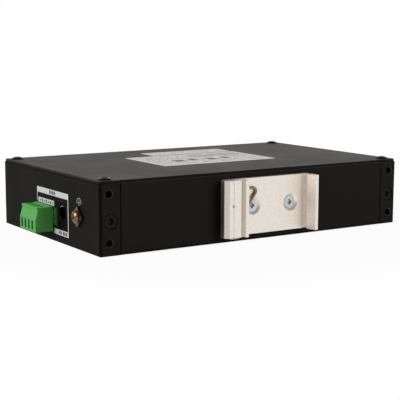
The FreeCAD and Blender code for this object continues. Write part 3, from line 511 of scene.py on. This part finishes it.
def split_node(tree, vector):
    """The X, Y and Z of a vector socket."""
    node = tree.nodes.new("ShaderNodeSeparateXYZ")
    tree.links.new(vector, node.inputs[0])
    return node.outputs


def ramp(tree, value, source, target=(0.0, 1.0), kind="SMOOTHSTEP"):
    """A value taken from the source range to the target range and held at its ends."""
    node = tree.nodes.new("ShaderNodeMapRange")
    node.interpolation_type = kind
    for label, number in zip(("From Min", "From Max", "To Min", "To Max"), (*source, *target)):
        node.inputs[label].default_value = number
    tree.links.new(value, node.inputs["Value"])
    return node.outputs["Result"]


def noise_node(tree, vector, scale, detail, roughness=0.5):
    """A Noise texture; scale is a socket or a number."""
    node = tree.nodes.new("ShaderNodeTexNoise")
    node.inputs["Detail"].default_value = detail
    node.inputs["Roughness"].default_value = roughness
    tree.links.new(vector, node.inputs["Vector"])
    if isinstance(scale, (int, float)):
        node.inputs["Scale"].default_value = scale
    else:
        tree.links.new(scale, node.inputs["Scale"])
    return node.outputs["Fac"]


def speck_group():
    """Fine specks, as of powder coat or blasted metal: cells of the given size mixed with fine noise."""
    group, start, end = new_group("fine_specks", [("Size", 0.4 * MM)], ["Height", "Tone"])
    scale = math_node(group, "DIVIDE", 1.0, start.outputs["Size"])
    cells = group.nodes.new("ShaderNodeTexVoronoi")
    cells.feature = "SMOOTH_F1"
    group.links.new(start.outputs["Place"], cells.inputs["Vector"])
    group.links.new(scale, cells.inputs["Scale"])
    fine = noise_node(group, start.outputs["Place"], math_node(group, "MULTIPLY", scale, 0.7), 3.0, 0.6)
    height = math_node(group, "ADD", cells.outputs["Distance"], fine)
    group.links.new(math_node(group, "MULTIPLY", height, 0.6), end.inputs["Height"])
    spread = math_node(group, "MULTIPLY", math_node(group, "SUBTRACT", fine, 0.5), 2.2)
    group.links.new(math_node(group, "ADD", spread, 0.5, clamp=True), end.inputs["Tone"])
    return group


def cloud_group():
    """Broad soft patches, as of handling or uneven gloss."""
    group, start, end = new_group("soft_patches", [("Size", 20 * MM)], ["Patch"])
    scale = math_node(group, "DIVIDE", 1.0, start.outputs["Size"])
    broad = noise_node(group, start.outputs["Place"], scale, 4.0, 0.55)
    spread = math_node(group, "MULTIPLY", math_node(group, "SUBTRACT", broad, 0.5), 2.5)
    group.links.new(math_node(group, "ADD", spread, 0.5, clamp=True), end.inputs["Patch"])
    return group


def draw_group():
    """Long fine lines along Z, as an extrusion die leaves them."""
    group, start, end = new_group("draw_lines", [("Pitch", 0.25 * MM)], ["Lines"])
    stretch = vector_node(group, "MULTIPLY", start.outputs["Place"], (1.0, 1.0, 0.015))
    scale = math_node(group, "DIVIDE", 1.0, start.outputs["Pitch"])
    lines = noise_node(group, stretch["Vector"], scale, 2.0, 0.7)
    group.links.new(lines, end.inputs["Lines"])
    return group


def print_group():
    """Rows of grey bars with ragged lengths and gaps, as small print looks from a step away."""
    lengths = [("Row pitch", 3.0 * MM), ("Word length", 6.0 * MM)]
    group, start, end = new_group("print_rows", lengths, ["Ink"])
    place = split_node(group, start.outputs["Place"])
    row = math_node(group, "DIVIDE", place["Y"], start.outputs["Row pitch"])
    number = math_node(group, "FLOOR", row)
    within = math_node(group, "FRACT", row)
    in_row = math_node(group, "MULTIPLY", math_node(group, "GREATER_THAN", within, 0.25),
                       math_node(group, "LESS_THAN", within, 0.75))
    join = group.nodes.new("ShaderNodeCombineXYZ")
    along = math_node(group, "DIVIDE", place["X"], start.outputs["Word length"])
    group.links.new(along, join.inputs["X"])
    group.links.new(math_node(group, "MULTIPLY", number, 7.31), join.inputs["Y"])
    words = noise_node(group, join.outputs[0], 2.1, 0.0)
    word = math_node(group, "GREATER_THAN", words, 0.46)
    group.links.new(math_node(group, "MULTIPLY", in_row, word), end.inputs["Ink"])
    return group


# ---------------------------------------------------------------- finishes
class Finish:
    """One material under construction: its tree, its Principled shader and its object coordinates."""

    def __init__(self, name, colour, roughness, metallic=0.0, specular=0.5):
        self.material = bpy.data.materials.new(name)
        self.material.use_nodes = True
        self.tree = self.material.node_tree
        self.shader = self.tree.nodes["Principled BSDF"]
        self.shader.inputs["Roughness"].default_value = roughness
        self.shader.inputs["Metallic"].default_value = metallic
        self.shader.inputs["Specular IOR Level"].default_value = specular
        self.shader.inputs["Base Color"].default_value = (*colour, 1.0)
        self.colour = np.array(colour)
        self.place = self.tree.nodes.new("ShaderNodeTexCoord").outputs["Object"]
        self.paint = None
        self.heights = None

    def group(self, group, **values):
        """Place a shared group and set its inputs by name."""
        node = self.tree.nodes.new("ShaderNodeGroup")
        node.node_tree = group
        self.tree.links.new(self.place, node.inputs["Place"])
        for label, value in values.items():
            node.inputs[label.replace("_", " ")].default_value = value
        return node

    def tint(self, mask, colour):
        """Blend the base colour towards another where the mask is 1."""
        mix = self.tree.nodes.new("ShaderNodeMix")
        mix.data_type = "RGBA"
        self.tree.links.new(mask, mix.inputs["Factor"])
        if self.paint is None:
            mix.inputs["A"].default_value = (*self.colour, 1.0)
        else:
            self.tree.links.new(self.paint, mix.inputs["A"])
        mix.inputs["B"].default_value = (*colour, 1.0)
        self.paint = mix.outputs["Result"]
        self.tree.links.new(self.paint, self.shader.inputs["Base Color"])
        return self

    def between(self, axis, low, high):
        """1 where the place along an axis lies between two values."""
        value = split_node(self.tree, self.place)[axis]
        above = math_node(self.tree, "GREATER_THAN", value, low)
        below = math_node(self.tree, "LESS_THAN", value, high)
        return math_node(self.tree, "MULTIPLY", above, below)

    def normal(self):
        """The surface's normal."""
        return self.tree.nodes.new("ShaderNodeNewGeometry").outputs["Normal"]

    def toward(self, direction, low, high):
        """1 where the surface faces a direction, by the cosine between them, 0 where it is below low."""
        cosine = vector_node(self.tree, "DOT_PRODUCT", self.normal(), direction)["Value"]
        return ramp(self.tree, cosine, (low, high))

    def facing(self, weights, low, high):
        """1 where the sum of the weighted sizes of the normal's X, Y and Z is above high, 0 below low."""
        size = vector_node(self.tree, "ABSOLUTE", self.normal())["Vector"]
        weighted = vector_node(self.tree, "DOT_PRODUCT", size, weights)["Value"]
        return ramp(self.tree, weighted, (low, high))

    def rough(self, mask, low, high):
        """Roughness from low where the mask is 0 to high where it is 1."""
        spread = ramp(self.tree, mask, (0.0, 1.0), (low, high), "LINEAR")
        self.tree.links.new(spread, self.shader.inputs["Roughness"])
        return self

    def bump(self, height, distance):
        """Raise the surface by distance times the height."""
        node = self.tree.nodes.new("ShaderNodeBump")
        node.inputs["Distance"].default_value = distance
        self.tree.links.new(height, node.inputs["Height"])
        if self.heights is not None:
            self.tree.links.new(self.heights, node.inputs["Normal"])
        self.heights = node.outputs["Normal"]
        self.tree.links.new(self.heights, self.shader.inputs["Normal"])
        return self


def shade(colour, factor):
    """A colour times a factor, kept within 0 and 1."""
    return tuple(min(1.0, channel * factor) for channel in colour)


def grained(name, colour, roughness, size, depth, contrast, metallic=0.0, specular=0.5, patch=25 * MM,
            patch_contrast=0.1):
    """A finish with fine specks in tone and height, and broad patches in tone and gloss."""
    finish = Finish(name, colour, roughness, metallic, specular)
    specks = finish.group(GROUPS["specks"], Size=size)
    patches = finish.group(GROUPS["patches"], Size=patch)
    finish.colour = np.array(shade(colour, 1.0 - contrast))
    finish.tint(specks.outputs["Tone"], shade(colour, 1.0 + contrast))
    weight = math_node(finish.tree, "MULTIPLY", patches.outputs["Patch"], patch_contrast)
    finish.tint(weight, shade(colour, 1.6))
    finish.rough(patches.outputs["Patch"], roughness * 0.92, min(1.0, roughness * 1.08))
    finish.bump(specks.outputs["Height"], depth)
    return finish


def plain(name, material, colour, roughness, size, height, contrast, **more):
    """Add a grained finish; the size and height of its specks are in millimetres."""
    FINISHES[name] = grained(material, colour, roughness, size * MM, height * MM, contrast, **more)


GROUPS = {}
FINISHES = {}


def make_finishes():
    """Every finish of the object, by name."""
    GROUPS["specks"] = speck_group()
    GROUPS["patches"] = cloud_group()
    GROUPS["lines"] = draw_group()
    GROUPS["print"] = print_group()
    paint = settings("switch_paint")
    metal = settings("switch_metal")
    plastic = settings("switch_plastic")
    printed = settings("switch_print")
    wall = grained("wall_coat", paint.wall_colour, 0.72, paint.grain, 0.012 * MM, 0.22, specular=0.05)
    # Painted shade: on the bends, where the normal lies between X and Y, the wall coat is darkened to a
    # quarter.
    wall.tint(wall.facing((1.0, 1.0, 0.0), 1.12, 1.32), shade(paint.wall_colour, 0.25))
    # Painted shade: where the normal turns up or down, as on the walls' rounded top edges, the wall coat is
    # darkened to a quarter, so those edges read as a dark line under the cover.
    wall.tint(wall.facing((0.0, 0.0, 1.0), 0.25, 0.6), shade(paint.wall_colour, 0.25))
    FINISHES["wall"] = wall
    # Painted sheen: the cover's colour is lighter than the walls' coat to stand in for grazing light on its
    # top.
    cover = grained("cover_coat", paint.cover_colour_with_sheen, 0.50, paint.grain, 0.012 * MM, 0.22, specular=0.12)
    # Painted shade: the cover's sides, where the normal lies in X and Y, are darkened to an eighth, so the
    # cover's edge reads as a dark gap line.
    cover.tint(cover.facing((1.0, 1.0, 0.0), 0.5, 0.9), shade(paint.cover_colour_with_sheen, 0.12))
    FINISHES["cover"] = cover
    clip = grained("clip_anodised", metal.clip_colour, 0.42, 0.50 * MM, 0.020 * MM, 0.10, metallic=1.0,
                   patch=6 * MM, patch_contrast=0.05)
    clip_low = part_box("din_clip")[0]
    # Painted shade: faces of the clip that turn to -X are darkened, to 0.38 of the clip colour from the
    # clip's left end up to the lip wall, and to 0.86 on the lip wall.
    turned = clip.toward((-1.0, 0.0, 0.0), 0.55, 0.95)
    for near, far, tone in ((-MM, LIP_WALL - MM, 0.38), (LIP_WALL - MM, LIP_WALL + 0.5 * MM, 0.86)):
        stretch = clip.between("X", clip_low.x + near, clip_low.x + far)
        clip.tint(math_node(clip.tree, "MULTIPLY", stretch, turned), shade(metal.clip_colour, tone))
    # Painted shade: a dark line along the scribed groove, where its shadow falls.
    groove_shade = clip.between("X", clip_low.x + SCRIBE - 0.17 * MM, clip_low.x + SCRIBE + 0.17 * MM)
    clip.tint(math_node(clip.tree, "MULTIPLY", groove_shade, 0.6), shade(metal.clip_colour, 0.35))
    lines = clip.group(GROUPS["lines"], Pitch=0.3 * MM)
    clip.bump(lines.outputs["Lines"], 0.006 * MM)
    FINISHES["clip"] = clip
    plain("wire", "wire_brass", metal.wire_colour, 0.22, 0.3, 0.004, 0.15, metallic=1.0)
    plain("zinc", "zinc_plate", metal.zinc_colour, 0.30, 0.3, 0.004, 0.06, metallic=1.0)
    plain("earth", "earth_bronze", metal.earth_colour, 0.18, 0.5, 0.006, 0.15, metallic=1.0)
    washer = grained("washer_plate", (0.17, 0.125, 0.09), 0.36, 0.5 * MM, 0.006 * MM, 0.15, metallic=1.0)
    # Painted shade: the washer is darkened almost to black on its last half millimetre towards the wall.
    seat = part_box("ground_washer")[1].x
    washer.tint(washer.between("X", seat - 0.5 * MM, seat + MM), (0.012, 0.009, 0.007))
    FINISHES["washer"] = washer
    FINISHES["bead"] = grained("paint_bead", (0.016, 0.015, 0.014), 0.32, paint.grain, 0.004 * MM, 0.2,
                               specular=0.35)
    plain("screw_black", "screw_black", (0.003, 0.003, 0.003), 0.16, 0.25, 0.002, 0.2, specular=0.2)
    plain("cap_black", "cap_screw_black", shade(paint.wall_colour, 0.9), 0.5, 0.3, 0.004, 0.2,
          specular=0.08)
    plain("plug", "plug_green", plastic.plug_colour, 0.42, 0.5, 0.005, 0.05, specular=0.3)
    header = grained("header_green", plastic.header_colour, 0.45, 0.5 * MM, 0.005 * MM, 0.05, specular=0.3)
    header_low, header_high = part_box("terminal_header")
    # Painted shade: near-black bands from 0.7 to 1.6 mm in from each end of the header, standing in for the
    # shade in the gap beside the plug.
    for edge, inward in ((header_low.y, 1.0), (header_high.y, -1.0)):
        near, far = sorted((edge + 0.7 * MM * inward, edge + 1.6 * MM * inward))
        header.tint(header.between("Y", near, far), (0.003, 0.008, 0.004))
    FINISHES["header"] = header
    plain("brass", "contact_tin", (0.70, 0.62, 0.42), 0.30, 0.4, 0.003, 0.06, metallic=1.0)
    plain("black", "socket_black", (0.0025, 0.0025, 0.0025), 0.50, 0.4, 0.006, 0.15, specular=0.05)
    plain("board", "board_mask", (0.004, 0.022, 0.010), 0.40, 1.5, 0.010, 0.2, patch=3 * MM)
    plain("tin", "tin_sheet", (0.62, 0.62, 0.61), 0.32, 0.6, 0.004, 0.05, metallic=1.0)
    plain("chip", "chip_black", (0.012, 0.012, 0.013), 0.55, 0.3, 0.006, 0.2)
    plain("sink", "sink_black", (0.02, 0.02, 0.022), 0.45, 0.4, 0.006, 0.2, metallic=0.6)
    plain("can", "can_metal", (0.55, 0.56, 0.58), 0.30, 0.5, 0.004, 0.05, metallic=1.0)
    plain("ink", "white_ink", printed.ink, 0.55, 0.3, 0.004, 0.05, specular=0.3)
    plain("dark_ink", "grey_ink", (0.10, 0.10, 0.11), 0.6, 0.3, 0.004, 0.05, specular=0.3)
    plain("sign_ink", "pale_ink", (0.33, 0.33, 0.33), 0.55, 0.3, 0.004, 0.10, specular=0.3)
    FINISHES["lamp_clear"] = lamp_finish("lamp_clear", (0.62, 0.64, 0.50))
    FINISHES["lamp_green"] = lamp_finish("lamp_green", (0.20, 0.45, 0.20))
    for node in ("rating_label", "serial_label"):
        FINISHES[node] = label_finish(node, printed.film)


def label_finish(node, colour):
    """Label film with ragged rows of small grey print inside a bare margin."""
    film = grained(node + "_film", colour, 0.5, 0.5 * MM, 0.004 * MM, 0.03, specular=0.35, patch=12 * MM)
    low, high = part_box(node)
    ink = film.group(GROUPS["print"], Row_pitch=1.9 * MM, Word_length=3.4 * MM).outputs["Ink"]
    for axis, start, end in (("X", low.x, high.x), ("Y", low.y, high.y)):
        inside = film.between(axis, start + LABEL_MARGIN, end - LABEL_MARGIN)
        ink = math_node(film.tree, "MULTIPLY", ink, inside)
    film.tint(math_node(film.tree, "MULTIPLY", ink, 0.6), (0.10, 0.10, 0.10))
    return film


def lamp_finish(name, colour):
    """Tinted clear plastic with fine haze."""
    finish = grained(name, colour, 0.25, 0.3 * MM, 0.003 * MM, 0.06, specular=0.5)
    finish.shader.inputs["Coat Weight"].default_value = 0.3
    return finish


def coat(finish, *nodes):
    """Give CAD nodes a finish."""
    for node in nodes:
        materials = NODES[node].data.materials
        materials.clear()
        materials.append(FINISHES[finish].material)


# ---------------------------------------------------------------- small pieces
def edge_beads():
    """Coat gathered in a bead along the walls' top edges, and the bevels of the bracket holes."""
    radius = settings("switch_paint").bead
    top = WALLS_HIGH.z - radius
    parts = []
    for low, high in ((LEFT_LOW, LEFT_HIGH), (WALLS_LOW, WALLS_HIGH), (RIGHT_LOW, RIGHT_HIGH)):
        ends = np.linspace(max(low.x, LEFT_WALL_X + BEND), min(high.x, -LEFT_WALL_X - BEND), 3)
        for y in (REAR_WALL_Y + radius, -REAR_WALL_Y - radius):
            parts.append(bead([(x, y, top) for x in ends], radius, (0.0, 0.0, 1.0)))
    fixed_piece("edge_beads", parts, "bead")
    rims = []
    for side in (-1.0, 1.0):
        for end in (-1.0, 1.0):
            for level in (-1.0, 1.0):
                x = end * (-LEFT_WALL_X - HOLE_INSET)
                centre = (x, side * -REAR_WALL_Y, COVER_TOP_Z / 2 + level * HOLE_SPACING / 2)
                wide = HOLE_RADIUS + HOLE_BEVEL
                rims.append(cone_ring(centre, (0.0, side, 0.0), wide, HOLE_RADIUS, HOLE_BEVEL))
    fixed_piece("hole_rims", rims, "bead")


def label_marks():
    """A row of plain dark blocks across the rating label, with two ruled lines under them."""
    low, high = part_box("rating_label")
    height = settings("switch_print").ink_height
    parts = []
    for place, wide in enumerate((5.5, 3.5, 4.5, 3.0)):
        x = low.x + (13.0 + 9.0 * place) * MM
        y = low.y + (11.0 + 1.2 * (place % 2)) * MM
        parts.append(plate((x, y, high.z), (x + wide * MM, y + 5.5 * MM, high.z + height)))
    for y in (low.y + 24.0 * MM, low.y + 28.0 * MM):
        corner = (high.x - 4.0 * MM, y + 0.9 * MM, high.z + height)
        parts.append(plate((low.x + 30.0 * MM, y, high.z), corner))
    fixed_piece("label_marks", parts, "dark_ink")


def earth_sign(x, y, z):
    """The arch, stem and bars of the usual sign for earth."""
    height = settings("switch_print").ink_height
    out = (-1.0, 0.0, 0.0)
    width = 0.42 * MM
    radius = 1.75 * MM
    angle = np.linspace(math.radians(-20), math.radians(200), 25)
    arch = np.stack([np.full(25, x), y + radius * np.cos(angle), z + radius * np.sin(angle)], axis=1)
    parts = [
        ribbon(arch, width, height, out),
        ribbon([(x, y, z + 0.9 * MM), (x, y, z - 1.3 * MM)], width, height, out),
        ribbon([(x, y - 0.95 * MM, z), (x, y + 0.95 * MM, z)], width, height, out),
        ribbon([(x, y - 0.5 * MM, z - 0.8 * MM), (x, y + 0.5 * MM, z - 0.8 * MM)], width, height, out),
    ]
    fixed_piece("earth_sign", parts, "sign_ink")


# ---------------------------------------------------------------- operators
class SWITCH_OT_finishes(bpy.types.Operator):
    """Make every finish and the shader groups that they share"""

    bl_idname = "switch.finishes"
    bl_label = "Finishes"

    def execute(self, context):
        make_finishes()
        return {"FINISHED"}


class SWITCH_OT_case(bpy.types.Operator):
    """Coat the folded walls, end caps and cover"""

    bl_idname = "switch.case"
    bl_label = "Case"

    def execute(self, context):
        coat("wall", "chassis", "end_cap_left", "end_cap_right")
        coat("cover", "top_cover")
        edge_beads()
        return {"FINISHED"}


class SWITCH_OT_case_screws(bpy.types.Operator):
    """Coat the screws of the cover and the strips"""

    bl_idname = "switch.case_screws"
    bl_label = "Case screws"

    def execute(self, context):
        dressed_screws("cover_screws", "cover_screw_set", 2, COVER_HEAD, COVER_HEAD, COVER_RECESS,
                       "screw_black", (0.3, 1.0, 0.6, 0.1))
        # Painted shade: a flat black ring round each cover screw head.
        shade_rings = []
        for low, high in islands("cover_screws"):
            centre = ((low[0] + high[0]) / 2, (low[1] + high[1]) / 2, COVER_TOP_Z)
            head = (high[0] - low[0]) / 2
            shade_rings.append(cone_ring(centre, (0.0, 0.0, 1.0), head + RING_OUT, head - HEAD_LAP, 0.0))
        fixed_piece("cover_screw_rings", shade_rings, "black")
        # Painted shade: a black cone in the countersink round each strip screw head.
        shade_wells = []
        for low, high in islands("cap_screws"):
            side = 1.0 if low[1] + high[1] > 0 else -1.0
            centre = ((low[0] + high[0]) / 2, side * -REAR_WALL_Y, (low[2] + high[2]) / 2)
            head = (high[0] - low[0]) / 2
            shade_wells.append(cone_ring(centre, (0.0, side, 0.0), head + WELL_OUT, head + HEAD_LAP, WELL_DEPTH))
        fixed_piece("cap_screw_wells", shade_wells, "black")
        dressed_screws("cap_screws", "cap_screw_set", 1, 0.0, 0.0, CAP_RECESS,
                       "cap_black", (0.5, 0.2, 0.9, 0.4))
        return {"FINISHED"}


class SWITCH_OT_labels(bpy.types.Operator):
    """Finish the labels on the cover"""

    bl_idname = "switch.labels"
    bl_label = "Labels"

    def execute(self, context):
        coat("rating_label", "rating_label")
        coat("serial_label", "serial_label")
        label_marks()
        return {"FINISHED"}


class SWITCH_OT_rail_clip(bpy.types.Operator):
    """Finish the rail clip, its wire and its screws"""

    bl_idname = "switch.rail_clip"
    bl_label = "Rail clip"

    def execute(self, context):
        coat("clip", "din_clip")
        coat("wire", "clip_spring")
        dressed_screws("clip_screws", "clip_screw_set", 1, 0.0, 0.0, CLIP_RECESS,
                       "zinc", (0.35, 0.9))
        coat("zinc", "clip_nuts")
        return {"FINISHED"}


class SWITCH_OT_power_end(bpy.types.Operator):
    """Finish the plug, header, jack and earth screw"""

    bl_idname = "switch.power_end"
    bl_label = "Power end"

    def execute(self, context):
        coat("plug", "terminal_plug")
        coat("header", "terminal_header")
        coat("brass", "header_pins", "wire_clamps", "plug_contacts", "dc_jack_pin", "dc_jack_spring")
        coat("zinc", "plug_screws")
        coat("black", "dc_jack")
        low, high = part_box("dc_jack")
        corners = ((low.y, low.z), (high.y, low.z), (high.y, high.z), (low.y, high.z))
        face = [(low.x, y, z) for y, z in corners]
        mouth = ((low.y + high.y) / 2, low.z + JACK_MOUTH_Z)
        # Painted glint: the metal arc covers only the lit part of the mouth, from 45 to 110 degrees.
        angle = np.linspace(math.radians(45), math.radians(110), 12)
        rim = np.stack([
            np.full(len(angle), low.x + ARC_DEPTH),
            mouth[0] + ARC_RADIUS * np.cos(angle),
            mouth[1] + ARC_RADIUS * np.sin(angle),
        ], axis=1)
        outline = bead(face, JACK_EDGE, (-1.0, 0.0, 0.0), True)
        fixed_piece("jack_edges", [outline], "bead")
        glint = bead(rim, ARC_WIRE, (-1.0, 0.0, 0.0))
        fixed_piece("jack_mouth_glint", [glint], "can")
        dressed_screws("ground_screw", "earth_screw_set", 0, EARTH_HEAD, EARTH_HEAD, EARTH_RECESS,
                       "earth", (0.0,))
        coat("washer", "ground_washer")
        coat("zinc", "ground_nut")
        return {"FINISHED"}


class SWITCH_OT_board(bpy.types.Operator):
    """Finish the board and the parts on it"""

    bl_idname = "switch.board"
    bl_label = "Board"

    def execute(self, context):
        coat("board", "circuit_board")
        coat("zinc", "board_standoffs", "board_screws")
        coat("chip", "switch_chip", "magnetics", "inductor")
        coat("sink", "heat_sink")
        coat("can", "capacitors")
        coat("tin", "crystal")
        return {"FINISHED"}


class SWITCH_OT_ports(bpy.types.Operator):
    """Finish the network ports and the lamps"""

    bl_idname = "switch.ports"
    bl_label = "Ports"

    def execute(self, context):
        coat("black", "port_block_left", "port_block_right")
        coat("tin", "port_shields")
        coat("brass", "port_contacts")
        coat("lamp_clear", "port_leds")
        coat("lamp_green", "status_leds")
        return {"FINISHED"}


class SWITCH_OT_end_print(bpy.types.Operator):
    """Print the frame, bands and marks on the power end"""

    bl_idname = "switch.end_print"
    bl_label = "End print"

    def execute(self, context):
        height = settings("switch_print").ink_height
        face = LEFT_WALL_X - PRINT_GAP
        side = REAR_WALL_Y

        def bar(y_low, y_high, z_low, z_high, lift=1.0):
            low = (face - lift * height, side + y_low * MM, z_low * MM)
            return plate(low, (face, side + y_high * MM, z_high * MM))

        white = [
            bar(FRAME_LOW, FRAME_HIGH, 19.2, 21.6),
            bar(FRAME_LOW, 42.0, 3.3, 5.6),
            bar(FRAME_LOW, FRAME_LOW + 0.55, 5.6, 19.2),
            bar(FRAME_HIGH - 0.4, FRAME_HIGH, 15.4, 19.2),
            bar(41.6, 57.2, 14.95, 17.1),
        ]
        fixed_piece("end_print", white, "ink")
        marks = [bar(start, start + TITLE_WIDE, *TITLE_ROW, DARK_LIFT) for start in TITLE_STARTS]
        marks += [bar(start, start + MARK_WIDE, *RATING_ROW, DARK_LIFT) for start in RATING_STARTS]
        for place in range(7):
            start = SIGN_START + SIGN_PITCH * place
            half = SIGN_HALVES[place % 2]
            marks.append(bar(start, start + MARK_WIDE, SIGN_Z - half, SIGN_Z + half, DARK_LIFT))
        fixed_piece("end_marks", marks, "dark_ink")
        earth_sign(face, side + 18.1 * MM, 19.5 * MM)
        return {"FINISHED"}


class SWITCH_OT_stage(bpy.types.Operator):
    """Set the camera, lamps, floor and background"""

    bl_idname = "switch.stage"
    bl_label = "Stage"

    def execute(self, context):
        stage = settings("switch_stage")
        set_camera(stage)
        set_floor(stage)
        set_world(stage)
        set_lamps(stage)
        view = context.scene.view_settings
        view.view_transform = "Standard"
        return {"FINISHED"}


# ---------------------------------------------------------------- stage
def set_camera(stage):
    """The camera, from its place, azimuth, elevation and roll."""
    camera = bpy.data.cameras.new("camera")
    camera.lens = stage.lens
    camera.sensor_width = 36.0
    camera.clip_start = 0.01
    camera.clip_end = 20.0
    holder = bpy.data.objects.new("camera", camera)
    bpy.context.scene.collection.objects.link(holder)
    turn = Matrix.Rotation(stage.azimuth, 4, "Z") @ Matrix.Rotation(math.pi / 2 - stage.elevation, 4, "X")
    turn = turn @ Matrix.Rotation(stage.roll, 4, "Z")
    holder.matrix_world = Matrix.Translation(stage.camera_place) @ turn
    bpy.context.scene.camera = holder


def seen_mask(tree, mirrored):
    """1 for camera and transmission rays, mirrored for glossy ones, 0 for the light on the object."""
    path = tree.nodes.new("ShaderNodeLightPath")
    gloss = math_node(tree, "MULTIPLY", path.outputs["Is Glossy Ray"], mirrored)
    seen = math_node(tree, "MAXIMUM", path.outputs["Is Camera Ray"], gloss)
    return math_node(tree, "MAXIMUM", seen, path.outputs["Is Transmission Ray"])


def outside_mask(tree, place, y_low, y_high, x_low, x_high):
    """0 under the box, where no light comes in, and 1 on the open floor."""
    sides = split_node(tree, place)
    masks = []
    for axis, low, high in (("X", x_low, x_high), ("Y", y_low, y_high)):
        offset = math_node(tree, "SUBTRACT", sides[axis], (low + high) / 2)
        away = math_node(tree, "ABSOLUTE", offset)
        masks.append(math_node(tree, "GREATER_THAN", away, (high - low) / 2 - CONTACT_INSET))
    return math_node(tree, "MAXIMUM", *masks)


def mixed(tree, mask, first, second):
    """The first shader where the mask is 0 and the second where it is 1."""
    blend = tree.nodes.new("ShaderNodeMixShader")
    for place, source in enumerate((mask, first.outputs[0], second.outputs[0])):
        tree.links.new(source, blend.inputs[place])
    return blend


def set_floor(stage):
    """A round white floor: lit paper near the object, plain white where it meets the background.

    It shows only its upper side, so that the underside of the box can be seen from below.
    """
    angle = np.linspace(0.0, 2.0 * np.pi, 96, endpoint=False)
    radius = np.array([0.1, 0.3, 0.6, 1.2, 3.0])
    ring = np.stack([
        radius[:, None] * np.cos(angle),
        radius[:, None] * np.sin(angle),
        np.full((len(radius), len(angle)), -FLOOR_DROP),
    ], axis=-1).reshape(-1, 3)
    faces = grid_faces(len(radius), len(angle), True).tolist()
    faces.append(list(range(len(angle))))
    mesh = mesh_from("floor", ring, faces)
    if mesh.polygons[0].normal.z < 0.0:
        mesh.flip_normals()
    floor = bpy.data.objects.new("floor", mesh)
    bpy.context.scene.collection.objects.link(floor)
    paper = Finish("floor_paper", (0.42, 0.42, 0.42), 0.9, specular=0.0)
    tree = paper.tree
    place = paper.place
    reach = vector_node(tree, "LENGTH", place)["Value"]
    spread = ramp(tree, reach, NEAR_FLOOR, (NEAR_GLOW, 1.0))
    open_floor = outside_mask(tree, place, WALLS_LOW.y, WALLS_HIGH.y, LEFT_WALL_X, -LEFT_WALL_X)
    bright = math_node(tree, "MULTIPLY", spread, open_floor)
    factor = math_node(tree, "MULTIPLY", bright, seen_mask(tree, stage.mirrored))
    glow = tree.nodes.new("ShaderNodeEmission")
    upper = mixed(tree, factor, paper.shader, glow)
    under = tree.nodes.new("ShaderNodeNewGeometry").outputs["Backfacing"]
    one_sided = mixed(tree, under, upper, tree.nodes.new("ShaderNodeBsdfTransparent"))
    tree.links.new(one_sided.outputs[0], tree.nodes["Material Output"].inputs["Surface"])
    mesh.materials.append(paper.material)


def set_world(stage):
    """A white background for the camera, gloss and glass; soft dim light for the rest.

    In gloss the studio is dark overhead and on the side where the camera stands.
    """
    world = bpy.data.worlds.new("studio")
    bpy.context.scene.world = world
    world.use_nodes = True
    tree = world.node_tree
    background = tree.nodes["Background"]
    background.inputs["Color"].default_value = (1.0, 1.0, 1.0, 1.0)
    ray = tree.nodes.new("ShaderNodeTexCoord").outputs["Generated"]
    toward = vector_node(tree, "DOT_PRODUCT", ray, stage.shade_side)["Value"]
    dark = ramp(tree, toward, DARK_SIDE_EDGE, (stage.mirrored, DARK_SIDE_SHARE * stage.mirrored))
    overhead = ramp(tree, split_node(tree, ray)["Z"], OVERHEAD_EDGE, (1.0, OVERHEAD_SHARE))
    seen = seen_mask(tree, math_node(tree, "MULTIPLY", dark, overhead))
    strength = ramp(tree, seen, (0.0, 1.0), (stage.ambient, 1.0), "LINEAR")
    tree.links.new(strength, background.inputs["Strength"])


def set_lamps(stage):
    """Three soft area lamps: a key on the left, one overhead and a fill in front of the clip."""
    lamps = (
        ("key_lamp", stage.key_power, (-1.0, 0.12, 0.48), 0.7),
        ("top_lamp", stage.top_power, (0.0, 0.15, 1.10), 1.0),
        ("fill_lamp", stage.fill_power, (0.28, -0.78, 0.40), 0.5),
    )
    for name, power, place, size in lamps:
        light = bpy.data.lights.new(name, "AREA")
        light.shape = "SQUARE"
        light.size = size
        light.energy = power
        lamp = bpy.data.objects.new(name, light)
        lamp.visible_glossy = name == "key_lamp"
        bpy.context.scene.collection.objects.link(lamp)
        aim = Vector((0.0, 0.0, 0.015)) - Vector(place)
        lamp.matrix_world = Matrix.Translation(place) @ aim.to_track_quat("-Z", "Y").to_matrix().to_4x4()


# ---------------------------------------------------------------- panel and registration
class SWITCH_PT_panel(bpy.types.Panel):
    """Steps that dress the switch, in order"""

    bl_idname = "SWITCH_PT_panel"
    bl_label = "Rail switch"
    bl_space_type = "VIEW_3D"
    bl_region_type = "UI"
    bl_category = "Switch"

    def draw(self, context):
        for step in STEPS:
            self.layout.operator(step.bl_idname)
        for name, group in SETTINGS.items():
            column = self.layout.column()
            for field in group.__annotations__:
                column.prop(settings(name), field)


STEPS = (
    SWITCH_OT_finishes,
    SWITCH_OT_case,
    SWITCH_OT_case_screws,
    SWITCH_OT_labels,
    SWITCH_OT_rail_clip,
    SWITCH_OT_power_end,
    SWITCH_OT_board,
    SWITCH_OT_ports,
    SWITCH_OT_end_print,
    SWITCH_OT_stage,
)
CLASSES = (*SETTINGS.values(), *STEPS, SWITCH_PT_panel)


def register():
    """Register the classes and hang the settings on the scene."""
    for item in CLASSES:
        bpy.utils.register_class(item)
    for name, group in SETTINGS.items():
        setattr(bpy.types.Scene, name, bpy.props.PointerProperty(type=group))


def unregister():
    """Undo register."""
    for name in SETTINGS:
        delattr(bpy.types.Scene, name)
    for item in reversed(CLASSES):
        bpy.utils.unregister_class(item)


def main():
    """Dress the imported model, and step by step."""
    register()
    bpy.ops.switch.finishes()
    bpy.ops.switch.case()
    bpy.ops.switch.case_screws()
    bpy.ops.switch.labels()
    bpy.ops.switch.rail_clip()
    bpy.ops.switch.power_end()
    bpy.ops.switch.board()
    bpy.ops.switch.ports()
    bpy.ops.switch.end_print()
    bpy.ops.switch.stage()


if __name__ == "__main__":
    main()
